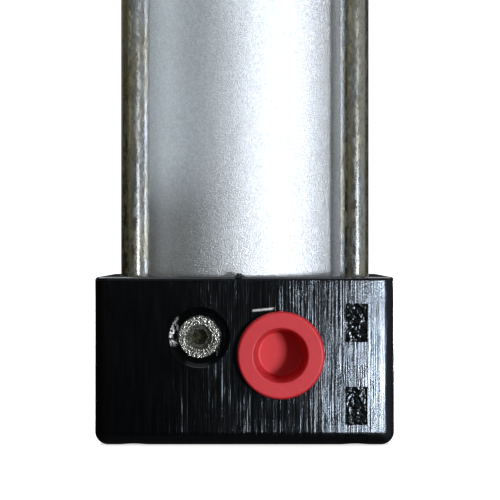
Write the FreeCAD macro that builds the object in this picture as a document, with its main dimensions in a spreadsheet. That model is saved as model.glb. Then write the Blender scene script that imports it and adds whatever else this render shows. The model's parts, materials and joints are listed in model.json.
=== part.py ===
"""Tie-rod pneumatic cylinder with a 40 mm bore and a 100 mm stroke, as a parametric document.

Units are millimetres. The cylinder stands on its rear cap: +Z runs along the piston rod, the origin is
the centre of the rear cap's end face, and both ports face -Y. The rod is drawn fully retracted.
"""
import FreeCAD
import Part
import Sketcher
import os

from FreeCAD import Placement, Rotation, Vector

# ---------------------------------------------------------------- driving dimensions

DIMENSIONS = {
    # how far the outline of a cut reaches outside the solid that it cuts
    "overcut": 1.0,
    "fine_overcut": 0.01,
    "mouth_overcut": 0.5,
    # end caps
    "cap_width": 50.0,
    "cap_length": 28.0,
    "cap_corner": 2.2,  # radius of the four long edges
    "cap_end_round": 2.2,  # radius round the outer end face
    "cap_inner_round": 0.6,  # radius round the face that meets the barrel
    "barrel_seat": 2.0,  # depth of the ring groove that takes the barrel's end
    "seat_gap": 0.1,  # between that groove and the barrel's outside, on the radius
    "spigot_length": 8.0,  # the cap reaches this far into the barrel
    "spigot_gap": 0.05,  # between the spigot and the bore, on the radius
    "spigot_chamfer": 0.8,
    "cushion_bore": 20.4,
    "cushion_floor": 10.0,  # distance from the outer end face
    "centring_diameter": 32.0,  # rear recess and front boss share it
    "centring_depth": 3.0,
    "boss_length": 15.0,
    "boss_lip": 1.5,  # the boss closes in over the rod seal by this much
    # barrel and stroke
    "bore": 40.0,
    "barrel_outer": 44.0,
    "barrel_lead_in": 0.9,  # length of the chamfer at each end of the bore
    "barrel_mouth": 0.5,  # its width
    "stroke": 100.0,
    "dead_length": 38.0,  # barrel between the caps at zero stroke
    # static seals
    "barrel_seal_place": 3.8,  # middle of the O-ring groove, from the cap's inner face
    "barrel_seal_groove": 2.4,
    "barrel_seal_section": 1.7,
    "cushion_seal_pocket": 24.0,
    "cushion_seal_height": 3.6,
    "cushion_seal_cover": 2.0,  # of cap left in front of the seal
    "cushion_lip_foot": 0.9,  # the seal's section, on the radius and then along the axis
    "cushion_lip_relief": 0.5,
    "cushion_lip_relief_end": 1.9,
    "cushion_lip_land": 0.8,
    "seal_gap": 0.05,  # between a seal and the sides of its groove
    # tie rods and their nuts
    "tie_spacing": 37.0,
    "tie_diameter": 4.8,
    "tie_thread": 5.35,  # pitch diameter of the rolled M6 thread
    "tie_thread_length": 14.0,
    "tie_point": 0.7,  # chamfer at the thread's end
    "tie_hole": 6.6,
    "thread_gap": 0.03,  # between mating threads, on the radius
    "nut_diameter": 10.0,
    "nut_length": 20.0,
    "nut_recess": 1.2,  # the nut sits this far under the end face
    "nut_pocket": 10.4,
    "nut_bore": 6.0,  # takes a mounting bolt from outside
    "nut_hex": 7.0,  # across flats
    "nut_hex_depth": 4.4,
    "nut_hex_inset": 0.3,  # the turned hole stays this far inside the hexagon
    "nut_hex_cone": 0.2,  # fall of the drilled cone at the socket's floor
    "nut_grip": 8.0,  # length of tie rod inside the nut
    # ports and their dust plugs
    "port_offset": 6.0,  # sideways from the axis
    "port_set_back": 13.0,  # from the face that meets the barrel
    "port_thread": 11.8,
    "port_mouth": 13.2,
    "port_mouth_depth": 7.4,
    "port_depth": 14.0,
    "port_cone": 1.0,  # length of the drilled cone under the thread
    "port_passage": 7.0,
    "port_floor": 18.0,  # the passage ends this deep, inside the cushion chamber
    "plug_flange": 14.6,
    "plug_flange_height": 1.7,
    "plug_bevel": 0.25,
    "plug_bevel_height": 0.9,
    "plug_skirt": 12.9,
    "plug_skirt_length": 1.5,  # parallel part of the skirt
    "plug_tip": 12.3,
    "plug_depth": 7.0,
    "plug_hollow": 9.0,
    "plug_hollow_floor": 7.7,
    "plug_hollow_depth": 6.8,
    "plug_seat_gap": 0.02,  # under the flange
    "plug_lip_round": 0.3,
    "plug_floor_round": 0.5,
    "plug_rim_round": 0.35,
    "plug_tip_round": 0.6,
    # cushion needles, as depths under the port face
    "needle_offset": 7.5,
    "needle_set_back": 10.0,
    "needle_countersink": 10.2,
    "countersink_depth": 0.7,
    "countersink_shelf": 0.6,  # width of the shelf round the guide
    "guide_diameter": 7.3,
    "guide_gap": 0.05,
    "guide_top": 0.15,
    "guide_bevel": 0.25,
    "guide_bevel_height": 0.3,
    "guide_dish_fall": 0.1,
    "guide_lip": 0.5,
    "guide_lip_bottom": 0.9,
    "guide_lip_bore": 4.2,
    "guide_dish": 5.1,
    "guide_length": 6.0,
    "guide_floor_gap": 0.4,  # under the guide's inner end
    "needle_top": 1.55,
    "needle_head": 5.0,
    "needle_head_bottom": 5.6,
    "needle_hex": 2.5,
    "needle_hex_depth": 1.9,
    "needle_stem": 4.6,
    "needle_groove": 2.72,
    "needle_groove_top": 8.2,
    "needle_groove_bottom": 9.4,
    "needle_shoulder": 10.0,
    "needle_cone": 0.4,
    "needle_tip_gap": 0.2,  # between the tip and the orifice, on the radius
    "needle_tip_taper": 0.3,
    "needle_point_length": 1.0,
    "needle_point": 0.2,
    "needle_tip": 12.4,
    "needle_hole": 4.8,
    "needle_hole_depth": 11.2,
    "orifice": 2.4,
    "orifice_start": 12.4,
    "orifice_end": 18.5,
    "needle_ring_section": 0.98,
    "needle_ring_gap": 0.02,
    "bleed_diameter": 2.0,
    "bleed_depth": 11.0,
    # the two recessed marks beside each port
    "mark_width": 3.7,
    "mark_height": 6.4,
    "mark_depth": 0.5,
    "mark_offset": 18.6,
    "mark_inner": 7.6,  # middle of the mark nearer the barrel, from the inner face
    "mark_outer": 21.4,
    "mark_bar_width": 2.4,
    "mark_bar_height": 0.8,
    "mark_bar_pitch": 1.8,
    "mark_bar_rise": 0.3,
    # piston and rod
    "end_gap": 0.2,  # between the piston and a cap's spigot at either end of the stroke
    "piston_length": 21.6,
    "piston_diameter": 39.4,
    "piston_chamfer": 0.8,
    "lip_groove_start": 2.2,
    "lip_groove_end": 5.6,
    "lip_groove_depth": 3.6,
    "lip_heel": 1.0,  # the lip seal's section, on the radius and then along the axis
    "lip_slot": 1.6,
    "lip_slot_depth": 1.7,
    "lip_width": 0.9,
    "lip_edge": 0.4,
    "lip_lean": 0.3,
    "wear_groove": 5.6,  # width, shared by the two halves
    "wear_groove_depth": 1.4,
    "magnet_groove": 4.4,
    "magnet_groove_depth": 4.3,
    "running_gap": 0.04,  # on the radius, wherever one piece runs in another
    "plunger_diameter": 19.6,
    "plunger_length": 16.0,
    "plunger_taper": 3.0,  # length of the tapered nose
    "plunger_nose": 17.2,
    "plunger_hex": 8.0,
    "plunger_hex_depth": 2.6,
    "rod_diameter": 16.0,
    "rod_spigot": 12.0,  # diameter inside the piston
    "rod_spigot_step": 0.2,
    "rod_seal_groove": 9.3,
    "rod_seal_groove_start": 4.0,
    "rod_seal_groove_end": 6.0,
    "rod_seal_section": 1.36,
    "rod_seal_gap": 0.01,
    "sleeve_seat": 14.0,  # diameter inside the front cushion sleeve
    "tail_thread": 10.0,
    "tail_length": 12.0,
    "tail_gap": 0.3,  # between the rod's tail and the plunger's floor
    "rod_neck": 10.0,  # plain rod between the boss and the thread
    "rod_chamfer": 1.0,
    "rod_thread": 12.0,
    "rod_thread_length": 24.0,
    "rod_thread_relief": 10.2,  # diameter of the run-out groove
    "rod_relief_length": 1.2,
    "rod_thread_pitch": 11.2,  # plain core that the lock nut runs on
    "rod_core_past_nut": 0.2,
    "drilling_mouth": 2.0,  # radii and depths of the centre drilling in the rod's tip
    "drilling_core": 0.8,
    "drilling_cone": 2.0,
    "drilling_depth": 2.6,
    "flats_width": 14.0,
    "flats_length": 6.0,
    "flats_set_back": 2.5,  # from the shoulder of the thread
    # guide and seal at the front
    "bush_outer": 20.0,
    "bush_front": 6.0,  # the bush reaches this far past the front face
    "bush_gap": 0.02,
    "seal_outer": 25.0,
    "seal_end": 13.5,  # the seal's pocket ends this far past the front face
    "wiper_back": 1.2,  # the rod seal's section on the radius, from the rod or from its outside
    "wiper_shoulder": 1.7,
    "wiper_taper": 0.2,
    "wiper_root": 1.6,
    "wiper_tip": 0.5,
    "wiper_hollow": 0.8,
    "wiper_front": 1.2,  # the same section along the axis, from the shelf outwards
    "wiper_tip_height": 2.4,
    "wiper_edge_height": 2.2,
    "wiper_land": 0.8,
    "wiper_hollow_start": 0.8,  # and from the shelf inwards
    "wiper_hollow_end": 2.8,
    "rod_lip_start": 4.0,
    "rod_lip_end": 5.0,
    "edge_break": 0.4,
    # lock nut on the rod
    "lock_nut_width": 19.0,
    "lock_nut_height": 7.0,
    "lock_nut_start": 1.6,  # above the shoulder of the thread
    "lock_nut_bore": 11.28,
    "lock_nut_fall": 0.7,  # how far the corner chamfer falls across a corner
    "lock_nut_inset": 0.2,  # it starts this far inside the flats
    "lock_nut_clear": 0.3,  # and its outline ends this far outside the corners
    "lock_nut_lead_in": 0.8,
}

# Often used places along Z, from the rear cap's end face.
FRONT_INNER = "(dims.cap_length + dims.dead_length + dims.stroke)"
FRONT_FACE = f"({FRONT_INNER} + dims.cap_length)"
PISTON_REAR = "(dims.cap_length + dims.spigot_length + dims.end_gap)"
BOSS_END = f"({FRONT_FACE} + dims.boss_length)"
THREAD_START = f"({BOSS_END} + dims.rod_neck)"

doc = FreeCAD.newDocument("pneumatic_cylinder")
sheet = doc.addObject("Spreadsheet::Sheet", "dims")
for row, (alias, size) in enumerate(DIMENSIONS.items(), start=1):
    sheet.set(f"B{row}", str(size))
    sheet.setAlias(f"B{row}", alias)
doc.recompute()

sub_parts = []


# ---------------------------------------------------------------- helpers


def number(expression):
    """The present value of a dimension expression."""
    return float(sheet.evalExpression(str(expression)))


def keep(piece, label):
    """Names a sub-part and puts it on the list that is exported."""
    piece.Label = label
    sub_parts.append(piece)
    return piece


def new_body(label):
    body = doc.addObject("PartDesign::Body", label)
    return keep(body, label)


def new_sketch(body, role, name, offset=None):
    """A sketch on one of the body's own origin planes, moved along its normal by an expression."""
    sketch = body.newObject("Sketcher::SketchObject", name)
    plane = next(f for f in body.Origin.OriginFeatures if f.Role == role)
    sketch.AttachmentSupport = [(plane, "")]
    sketch.MapMode = "FlatFace"
    if offset is not None:
        sketch.setExpression("AttachmentOffset.Base.z", str(offset))
    return sketch


def bind(sketch, constraint, expression):
    index = sketch.addConstraint(constraint)
    sketch.setExpression(f"Constraints[{index}]", str(expression))


def pin_point(sketch, line, position, x, y):
    """Holds a point of the sketch at two dimension expressions, or on an axis where one is 0."""
    origin, horizontal, vertical = (-1, 1), -1, -2
    if str(x) == "0":
        sketch.addConstraint(Sketcher.Constraint("PointOnObject", line, position, vertical))
    else:
        bind(sketch, Sketcher.Constraint("DistanceX", *origin, line, position, number(x)), x)
    if str(y) == "0":
        sketch.addConstraint(Sketcher.Constraint("PointOnObject", line, position, horizontal))
    else:
        bind(sketch, Sketcher.Constraint("DistanceY", *origin, line, position, number(y)), y)


def outline(sketch, points):
    """A closed outline of straight lines. Each corner is a pair of dimension expressions."""
    places = [Vector(number(x), number(y), 0) for x, y in points]
    first = sketch.GeometryCount
    count = len(places)
    for i, start in enumerate(places):
        sketch.addGeometry(Part.LineSegment(start, places[(i + 1) % count]), False)
    for i in range(count):
        following = first + (i + 1) % count
        sketch.addConstraint(Sketcher.Constraint("Coincident", first + i, 2, following, 1))
    for i, (x, y) in enumerate(points):
        pin_point(sketch, first + i, 1, x, y)


def circle(sketch, x, y, diameter):
    centre = Vector(number(x), number(y), 0)
    radius = f"({diameter}) / 2"
    index = sketch.addGeometry(Part.Circle(centre, Vector(0, 0, 1), number(radius)), False)
    pin_point(sketch, index, 3, x, y)
    bind(sketch, Sketcher.Constraint("Radius", index, number(radius)), radius)


def changed(feature, before, grows):
    """Recomputes, and stops if the feature added or removed nothing."""
    doc.recompute()
    after = feature.Shape.Volume
    if not feature.Shape.isValid() or (after - before) * (1 if grows else -1) <= 1e-6:
        raise RuntimeError(f"{feature.Label} changed nothing or failed: {before} -> {after}")
    return feature


def volume_of(body):
    return body.Tip.Shape.Volume if body.Tip else 0.0


def turned(body, name, points, cut=False):
    """Adds or cuts the solid that an outline of (radius, z) corners makes round the body's Z axis."""
    before = volume_of(body)
    sketch = new_sketch(body, "XZ_Plane", f"{name}_outline")
    outline(sketch, points)
    kind = "PartDesign::Groove" if cut else "PartDesign::Revolution"
    feature = body.newObject(kind, name)
    feature.Profile = sketch
    feature.ReferenceAxis = (sketch, ["V_Axis"])
    feature.Angle = 360
    return changed(feature, before, not cut)


def padded(body, name, draw, length, start=None):
    before = volume_of(body)
    sketch = new_sketch(body, "XY_Plane", f"{name}_outline", start)
    draw(sketch)
    feature = body.newObject("PartDesign::Pad", name)
    feature.Profile = sketch
    feature.setExpression("Length", str(length))
    return changed(feature, before, True)


def pocketed(body, name, draw, length, start=None, role="XY_Plane", reverse=False):
    """A pocket along the sketch plane's normal: against it, or with it where reverse is set."""
    before = volume_of(body)
    sketch = new_sketch(body, role, f"{name}_outline", start)
    draw(sketch)
    feature = body.newObject("PartDesign::Pocket", name)
    feature.Profile = sketch
    feature.setExpression("Length", str(length))
    feature.Reversed = reverse
    return changed(feature, before, False)


def drilled(body, name, x, z, steps):
    """A stepped hole into the port face. Steps are (radius, depth) corners from the mouth inwards."""
    before = volume_of(body)
    face = "-dims.cap_width / 2"
    sketch = new_sketch(body, "XY_Plane", f"{name}_outline", z)
    above = f"{face} - dims.overcut"
    corners = [(x, above), (f"{x} + {steps[0][0]}", above)]
    corners += [(f"{x} + {radius}", f"{face} + {depth}") for radius, depth in steps]
    corners += [(x, f"{face} + {steps[-1][1]}")]
    outline(sketch, corners)
    feature = body.newObject("PartDesign::Groove", name)
    feature.Profile = sketch
    closing_line = len(corners) - 1
    feature.ReferenceAxis = (sketch, [f"Edge{closing_line + 1}"])
    feature.Angle = 360
    return changed(feature, before, False)


def dressed(body, name, radius, test):
    """A fillet on those edges of the body's tip that pass the test."""
    base = body.Tip
    names = [f"Edge{i}" for i, edge in enumerate(base.Shape.Edges, start=1) if test(edge)]
    if not names:
        raise RuntimeError(f"{name} found no edge")
    feature = body.newObject("PartDesign::Fillet", name)
    feature.Base = (base, names)
    feature.setExpression("Radius", radius)
    doc.recompute()
    if not feature.Shape.isValid():
        raise RuntimeError(f"{name} failed")
    return feature


def along_z(edge):
    box = edge.BoundBox
    return box.ZLength > 1 and box.XLength < 1e-6 and box.YLength < 1e-6


def at_height(expression):
    """A test for edges that lie flat at a height."""
    height = number(expression)

    def test(edge):
        box = edge.BoundBox
        return abs(box.ZMin - height) < 1e-6 and abs(box.ZMax - height) < 1e-6

    return test


def ring_at(diameter, height):
    """A test for the round edge of a diameter at a height on the Z axis."""
    radius, place = number(diameter) / 2, number(height)

    def test(edge):
        curve = edge.Curve
        return (
            isinstance(curve, Part.Circle)
            and abs(curve.Radius - radius) < 1e-4
            and abs(curve.Center.z - place) < 1e-4
            and abs(curve.Center.x) < 1e-6
        )

    return test


def put(piece, x="0", y="0", z="0", rotation=None):
    """Places a sub-part at expressions of the driving dimensions."""
    if rotation is not None:
        piece.Placement = Placement(Vector(0, 0, 0), rotation)
    for axis, expression in (("x", x), ("y", y), ("z", z)):
        if str(expression) != "0":
            piece.setExpression(f"Placement.Base.{axis}", str(expression))
    doc.recompute()
    return piece


OUT_OF_PORT_FACE = Rotation(Vector(1, 0, 0), 90)  # a piece's own +Z then points along -Y
UPSIDE_DOWN = Rotation(Vector(0, 1, 0), 180)


def at_cap(end, set_back):
    """Height of something a set distance from the inner face of the rear or front cap."""
    if end == "rear":
        return f"dims.cap_length - {set_back}"
    return f"{FRONT_INNER} + {set_back}"


# ---------------------------------------------------------------- housing

SPIGOT = "(dims.bore / 2 - dims.spigot_gap)"  # radius
SPIGOT_END = "(dims.cap_length + dims.spigot_length)"
CUSHION_SEAL_LOW = f"({SPIGOT_END} - dims.cushion_seal_cover - dims.cushion_seal_height)"
CUSHION_SEAL_HIGH = f"({SPIGOT_END} - dims.cushion_seal_cover)"


def end_cap(end):
    """A cap in its own frame: outer end face at z = 0, barrel side towards +z.

    The front cap is turned upside down when it is placed, so its sideways offsets are negated here
    and both ports end up on the same side of the axis.
    """
    cap = new_body(f"{end}_cap")
    side = "" if end == "rear" else "-"
    cap_block(cap)
    cap_spigot(cap)
    if end == "front":
        cap_boss(cap)
    cushion_chamber(cap)
    if end == "front":
        rod_bore(cap)
    else:
        centring_recess(cap)
    cap_corner_holes(cap)
    port_hole(cap, f"{side}dims.port_offset")
    needle_hole(cap, f"{'-' if end == 'rear' else ''}dims.needle_offset")
    for place in ("inner", "outer"):
        recessed_mark(cap, f"{place}_mark", f"dims.mark_{place}", side)
    if end == "front":
        put(cap, z=FRONT_FACE, rotation=UPSIDE_DOWN)


def cap_block(cap):
    half = "dims.cap_width / 2"

    def square(sketch):
        corners = [(f"-{half}", f"-{half}"), (half, f"-{half}"), (half, half), (f"-{half}", half)]
        outline(sketch, corners)

    padded(cap, "block", square, "dims.cap_length")
    dressed(cap, "long_edges", "dims.cap_corner", along_z)
    dressed(cap, "end_edges", "dims.cap_end_round", at_height("0"))
    dressed(cap, "inner_edges", "dims.cap_inner_round", at_height("dims.cap_length"))


def cap_spigot(cap):
    """The round spigot with its O-ring groove, and the ring groove for the barrel's end."""
    groove_bottom = f"({SPIGOT} - dims.barrel_seal_section)"
    groove_low = "(dims.cap_length + dims.barrel_seal_place - dims.barrel_seal_groove / 2)"
    groove_high = "(dims.cap_length + dims.barrel_seal_place + dims.barrel_seal_groove / 2)"
    seat_floor = "(dims.cap_length - dims.barrel_seat)"
    root = f"({seat_floor} - dims.overcut)"  # inside the block, so that the two grow together
    turned(
        cap,
        "spigot",
        [
            ("0", root),
            (SPIGOT, root),
            (SPIGOT, groove_low),
            (groove_bottom, groove_low),
            (groove_bottom, groove_high),
            (SPIGOT, groove_high),
            (SPIGOT, f"{SPIGOT_END} - dims.spigot_chamfer"),
            (f"{SPIGOT} - dims.spigot_chamfer", SPIGOT_END),
            ("0", SPIGOT_END),
        ],
    )
    seat = "(dims.barrel_outer / 2 + dims.seat_gap)"
    above = "dims.cap_length + dims.overcut"
    turned(
        cap,
        "barrel_seat_groove",
        [(SPIGOT, seat_floor), (seat, seat_floor), (seat, above), (SPIGOT, above)],
        cut=True,
    )


def cap_boss(cap):
    boss = "dims.centring_diameter / 2"
    turned(
        cap,
        "boss",
        [
            ("0", "dims.overcut"),
            (boss, "dims.overcut"),
            (boss, "-dims.boss_length + dims.spigot_chamfer"),
            (f"{boss} - dims.spigot_chamfer", "-dims.boss_length"),
            ("0", "-dims.boss_length"),
        ],
    )


def cushion_chamber(cap):
    """The blind chamber that the plunger enters, with a pocket for its seal near the mouth."""
    wall = "dims.cushion_bore / 2"
    pocket = "dims.cushion_seal_pocket / 2"
    turned(
        cap,
        "cushion_chamber",
        [
            ("0", "dims.cushion_floor"),
            (wall, "dims.cushion_floor"),
            (wall, CUSHION_SEAL_LOW),
            (pocket, CUSHION_SEAL_LOW),
            (pocket, CUSHION_SEAL_HIGH),
            (wall, CUSHION_SEAL_HIGH),
            (f"{wall} + dims.edge_break", f"{SPIGOT_END} + dims.edge_break"),
            ("0", f"{SPIGOT_END} + dims.edge_break"),
        ],
        cut=True,
    )


def centring_recess(cap):
    recess = "dims.centring_diameter / 2"
    depth = "dims.centring_depth"
    outside = "-dims.overcut"
    section = [("0", outside), (recess, outside), (recess, depth), ("0", depth)]
    turned(cap, "centring_recess", section, cut=True)


def rod_bore(cap):
    """The bore for the bush, wider in front where the rod seal sits behind a small lip."""
    bush, seal = "dims.bush_outer / 2", "dims.seal_outer / 2"
    mouth = f"{seal} - dims.boss_lip"
    outside = "-dims.boss_length - dims.mouth_overcut"
    turned(
        cap,
        "rod_bore",
        [
            ("0", "dims.cushion_floor + dims.overcut"),
            (bush, "dims.cushion_floor + dims.overcut"),
            (bush, "-dims.bush_front"),
            (seal, "-dims.bush_front"),
            (seal, "-dims.seal_end"),
            (mouth, "-dims.seal_end"),
            (f"{mouth} + dims.edge_break", outside),
            ("0", outside),
        ],
        cut=True,
    )


def cap_corner_holes(cap):
    """Clearance holes for the tie rods and, from outside, the wider pockets for their nuts."""
    corner = "dims.tie_spacing / 2"

    def four(diameter):
        def draw(sketch):
            for x in (corner, f"-{corner}"):
                for y in (corner, f"-{corner}"):
                    circle(sketch, x, y, diameter)

        return draw

    through = "dims.cap_length + dims.overcut"
    pocketed(cap, "tie_rod_holes", four("dims.tie_hole"), through, start=through)
    depth = "dims.nut_recess + dims.nut_length"
    pocketed(cap, "nut_pockets", four("dims.nut_pocket"), depth, reverse=True)


def port_hole(cap, x):
    """The port: a plain mouth, the thread's core, and a passage into the cushion chamber."""
    mouth = "dims.port_mouth / 2"
    thread, passage = "dims.port_thread / 2", "dims.port_passage / 2"
    steps = [
        (f"{mouth} + dims.edge_break", "0"),
        (mouth, "dims.edge_break"),
        (mouth, "dims.port_mouth_depth"),
        (thread, "dims.port_mouth_depth"),
        (thread, "dims.port_depth"),
        (passage, "dims.port_depth + dims.port_cone"),
        (passage, "dims.port_floor"),
    ]
    drilled(cap, "port", x, "dims.cap_length - dims.port_set_back", steps)


def needle_hole(cap, x):
    """The cushion needle's stepped hole and the passage that joins it to the barrel."""
    guide = "(dims.guide_diameter / 2 + dims.guide_gap)"
    rim = "dims.countersink_depth"
    floor = "dims.guide_length + dims.guide_floor_gap"
    steps = [
        ("dims.needle_countersink / 2", "0"),
        (f"{guide} + dims.countersink_shelf", rim),
        (guide, rim),
        (guide, floor),
        ("dims.needle_hole / 2", floor),
        ("dims.needle_hole / 2", "dims.needle_hole_depth"),
        ("dims.orifice / 2", "dims.orifice_start"),
        ("dims.orifice / 2", "dims.orifice_end"),
    ]
    drilled(cap, "needle_hole", x, "dims.cap_length - dims.needle_set_back", steps)

    def bleed(sketch):
        circle(sketch, x, "-dims.cap_width / 2 + dims.bleed_depth", "dims.bleed_diameter")

    length = "dims.spigot_length + dims.overcut + dims.needle_set_back"
    pocketed(cap, "bleed_passage", bleed, length, start=f"{SPIGOT_END} + dims.overcut")


def recessed_mark(cap, name, set_back, side):
    """A shallow rectangular recess in the port face with three plain raised bars in it."""
    face = "dims.cap_width / 2"  # the XZ plane's normal is -Y
    middle_x = f"{side}dims.mark_offset"
    middle_z = f"(dims.cap_length - {set_back})"

    def rectangle(sketch, width, height, rise="0"):
        left, right = f"{middle_x} - {width} / 2", f"{middle_x} + {width} / 2"
        low = f"{middle_z} + {rise} - {height} / 2"
        high = f"{middle_z} + {rise} + {height} / 2"
        outline(sketch, [(left, low), (right, low), (right, high), (left, high)])

    def recess(sketch):
        rectangle(sketch, "dims.mark_width", "dims.mark_height")

    pocketed(cap, name, recess, "dims.mark_depth", start=face, role="XZ_Plane")
    before = volume_of(cap)
    under_floor = 0.1  # the bars start this far inside the recess's floor
    start = f"{face} - dims.mark_depth - {under_floor}"
    sketch = new_sketch(cap, "XZ_Plane", f"{name}_bar_outline", start)
    for step in (-1, 0, 1):
        rise = f"({step} * dims.mark_bar_pitch)"
        rectangle(sketch, "dims.mark_bar_width", "dims.mark_bar_height", rise)
    feature = cap.newObject("PartDesign::Pad", f"{name}_bars")
    feature.Profile = sketch
    feature.setExpression("Length", f"dims.mark_bar_rise + {under_floor}")
    changed(feature, before, True)


def barrel():
    tube = new_body("barrel")
    inner, outer = "dims.bore / 2", "dims.barrel_outer / 2"
    mouth, break_ = f"{inner} + dims.barrel_mouth", "dims.edge_break"
    low = "(dims.cap_length - dims.barrel_seat)"
    high = f"({FRONT_INNER} + dims.barrel_seat)"
    turned(
        tube,
        "wall",
        [
            (mouth, low),
            (f"{outer} - {break_}", low),
            (outer, f"{low} + {break_}"),
            (outer, f"{high} - {break_}"),
            (f"{outer} - {break_}", high),
            (mouth, high),
            (inner, f"{high} - dims.barrel_lead_in"),
            (inner, f"{low} + dims.barrel_lead_in"),
        ],
    )


def corners():
    """Name, x and y of the four tie rods, seen from the port side."""
    near, far = "-dims.tie_spacing / 2", "dims.tie_spacing / 2"
    return [
        ("port_side_left", near, near),
        ("port_side_right", far, near),
        ("back_left", near, far),
        ("back_right", far, far),
    ]


def tie_rod(label, x, y):
    """A tie rod in its own frame, threaded at both ends, placed so that its ends lie in the nuts."""
    rod = new_body(label)
    end = "(dims.nut_recess + dims.nut_length - dims.nut_grip)"
    length = f"({FRONT_FACE} - 2 * {end})"
    thread, shank = "dims.tie_thread / 2", "dims.tie_diameter / 2"
    point = "dims.tie_point"
    run_out = "(dims.tie_thread_length + dims.edge_break)"
    turned(
        rod,
        "shank",
        [
            ("0", "0"),
            (f"{thread} - {point}", "0"),
            (thread, point),
            (thread, "dims.tie_thread_length"),
            (shank, run_out),
            (shank, f"{length} - {run_out}"),
            (thread, f"{length} - dims.tie_thread_length"),
            (thread, f"{length} - {point}"),
            (f"{thread} - {point}", length),
            ("0", length),
        ],
    )
    put(rod, x=x, y=y, z=end)


def sleeve_nuts(end):
    """The four round nuts of one cap, kept as one group of separate solids."""
    nuts = []
    for name, x, y in corners():
        nut = sleeve_nut(f"{end}_nut_{name}")
        if end == "rear":
            put(nut, x=x, y=y, z="dims.nut_recess")
        else:
            put(nut, x=x, y=y, z=f"{FRONT_FACE} - dims.nut_recess", rotation=UPSIDE_DOWN)
        nuts.append(nut)
    group = doc.addObject("Part::Compound", f"{end}_tie_rod_nuts")
    group.Links = nuts
    doc.recompute()
    keep(group, f"{end}_tie_rod_nuts")


def sleeve_nut(label):
    """A round nut: hexagon socket outside, then a bolt's thread, then the tie rod's thread."""
    nut = doc.addObject("PartDesign::Body", label)
    outer, break_ = "dims.nut_diameter / 2", "dims.edge_break"
    bolt, thread = "dims.nut_bore / 2", "(dims.tie_thread / 2 + dims.thread_gap)"
    step = "dims.nut_length - dims.nut_grip"
    inside_socket = "dims.nut_hex / 2 - dims.nut_hex_inset"  # the socket's pocket takes the rest away
    turned(
        nut,
        "turning",
        [
            (bolt, "dims.nut_hex_depth"),
            (bolt, step),
            (thread, step),
            (thread, f"dims.nut_length - {break_}"),
            (f"{thread} + {break_}", "dims.nut_length"),
            (f"{outer} - {break_}", "dims.nut_length"),
            (outer, f"dims.nut_length - {break_}"),
            (outer, break_),
            (f"{outer} - {break_}", "0"),
            (inside_socket, "0"),
            (inside_socket, "dims.nut_hex_depth - dims.nut_hex_cone"),
        ],
    )

    def hexagon_socket(sketch):
        hexagon(sketch, "dims.nut_hex")

    pocketed(nut, "hexagon_socket", hexagon_socket, "dims.nut_hex_depth", reverse=True)
    return nut


def cap_seals(end):
    """The O-ring round a cap's spigot and the lip ring that grips the cushion plunger."""
    place = "(dims.cap_length + dims.barrel_seal_place)"
    z = place if end == "rear" else f"{FRONT_FACE} - {place}"
    mean = f"{SPIGOT} - dims.barrel_seal_section / 2 + dims.running_gap / 2"
    o_ring(f"{end}_barrel_o_ring", mean, "dims.barrel_seal_section", z=z)

    lip = "(dims.plunger_diameter / 2 + dims.seal_gap)"
    outer = "(dims.cushion_seal_pocket / 2 - dims.seal_gap)"
    low = f"({CUSHION_SEAL_LOW} + dims.seal_gap)"
    high = f"({CUSHION_SEAL_HIGH} - dims.seal_gap)"
    seal = new_body(f"{end}_cushion_seal")
    turned(
        seal,
        "section",
        [
            (f"{lip} + dims.cushion_lip_foot", low),
            (outer, low),
            (outer, high),
            (lip, high),
            (lip, f"{high} - dims.cushion_lip_land"),
            (f"{lip} + dims.cushion_lip_relief", f"{high} - dims.cushion_lip_relief_end"),
        ],
    )
    if end == "front":
        put(seal, z=FRONT_FACE, rotation=UPSIDE_DOWN)


def rod_guide():
    """The bush and the combined seal and wiper that the rod runs in, in the front cap's frame."""
    bore = "(dims.rod_diameter / 2 + dims.running_gap)"
    outer, break_ = "(dims.bush_outer / 2 - dims.bush_gap)", "dims.edge_break"
    bush = new_body("rod_bush")
    turned(
        bush,
        "wall",
        [
            (f"{bore} + {break_}", "-dims.bush_front"),
            (f"{outer} - {break_}", "-dims.bush_front"),
            (outer, f"-dims.bush_front + {break_}"),
            (outer, f"dims.cushion_floor - {break_}"),
            (f"{outer} - {break_}", "dims.cushion_floor"),
            (f"{bore} + {break_}", "dims.cushion_floor"),
            (bore, f"dims.cushion_floor - {break_}"),
            (bore, f"-dims.bush_front + {break_}"),
        ],
    )
    put(bush, z=FRONT_FACE, rotation=UPSIDE_DOWN)

    seal = new_body("rod_wiper_seal")
    edge = "(dims.seal_outer / 2 - dims.seal_gap)"
    back = "(-dims.bush_front - dims.seal_gap)"
    shelf = "(-dims.seal_end + dims.seal_gap)"
    hollow = f"{bore} + dims.wiper_hollow"
    turned(
        seal,
        "section",
        [
            (f"{bore} + dims.wiper_back", back),
            (edge, back),
            (edge, shelf),
            (f"{edge} - dims.wiper_shoulder", shelf),
            (f"{edge} - dims.wiper_shoulder - dims.wiper_taper", f"{shelf} - dims.wiper_front"),
            (f"{bore} + dims.wiper_root", f"{shelf} - dims.wiper_front"),
            (f"{bore} + dims.wiper_tip", f"{shelf} - dims.wiper_tip_height"),
            (bore, f"{shelf} - dims.wiper_edge_height"),
            (bore, f"{shelf} - dims.wiper_land"),
            (hollow, f"{shelf} + dims.wiper_hollow_start"),
            (hollow, f"{shelf} + dims.wiper_hollow_end"),
            (bore, f"{shelf} + dims.rod_lip_start"),
            (bore, f"{shelf} + dims.rod_lip_end"),
        ],
    )
    put(seal, z=FRONT_FACE, rotation=UPSIDE_DOWN)


# ---------------------------------------------------------------- port plugs and needles


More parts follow.
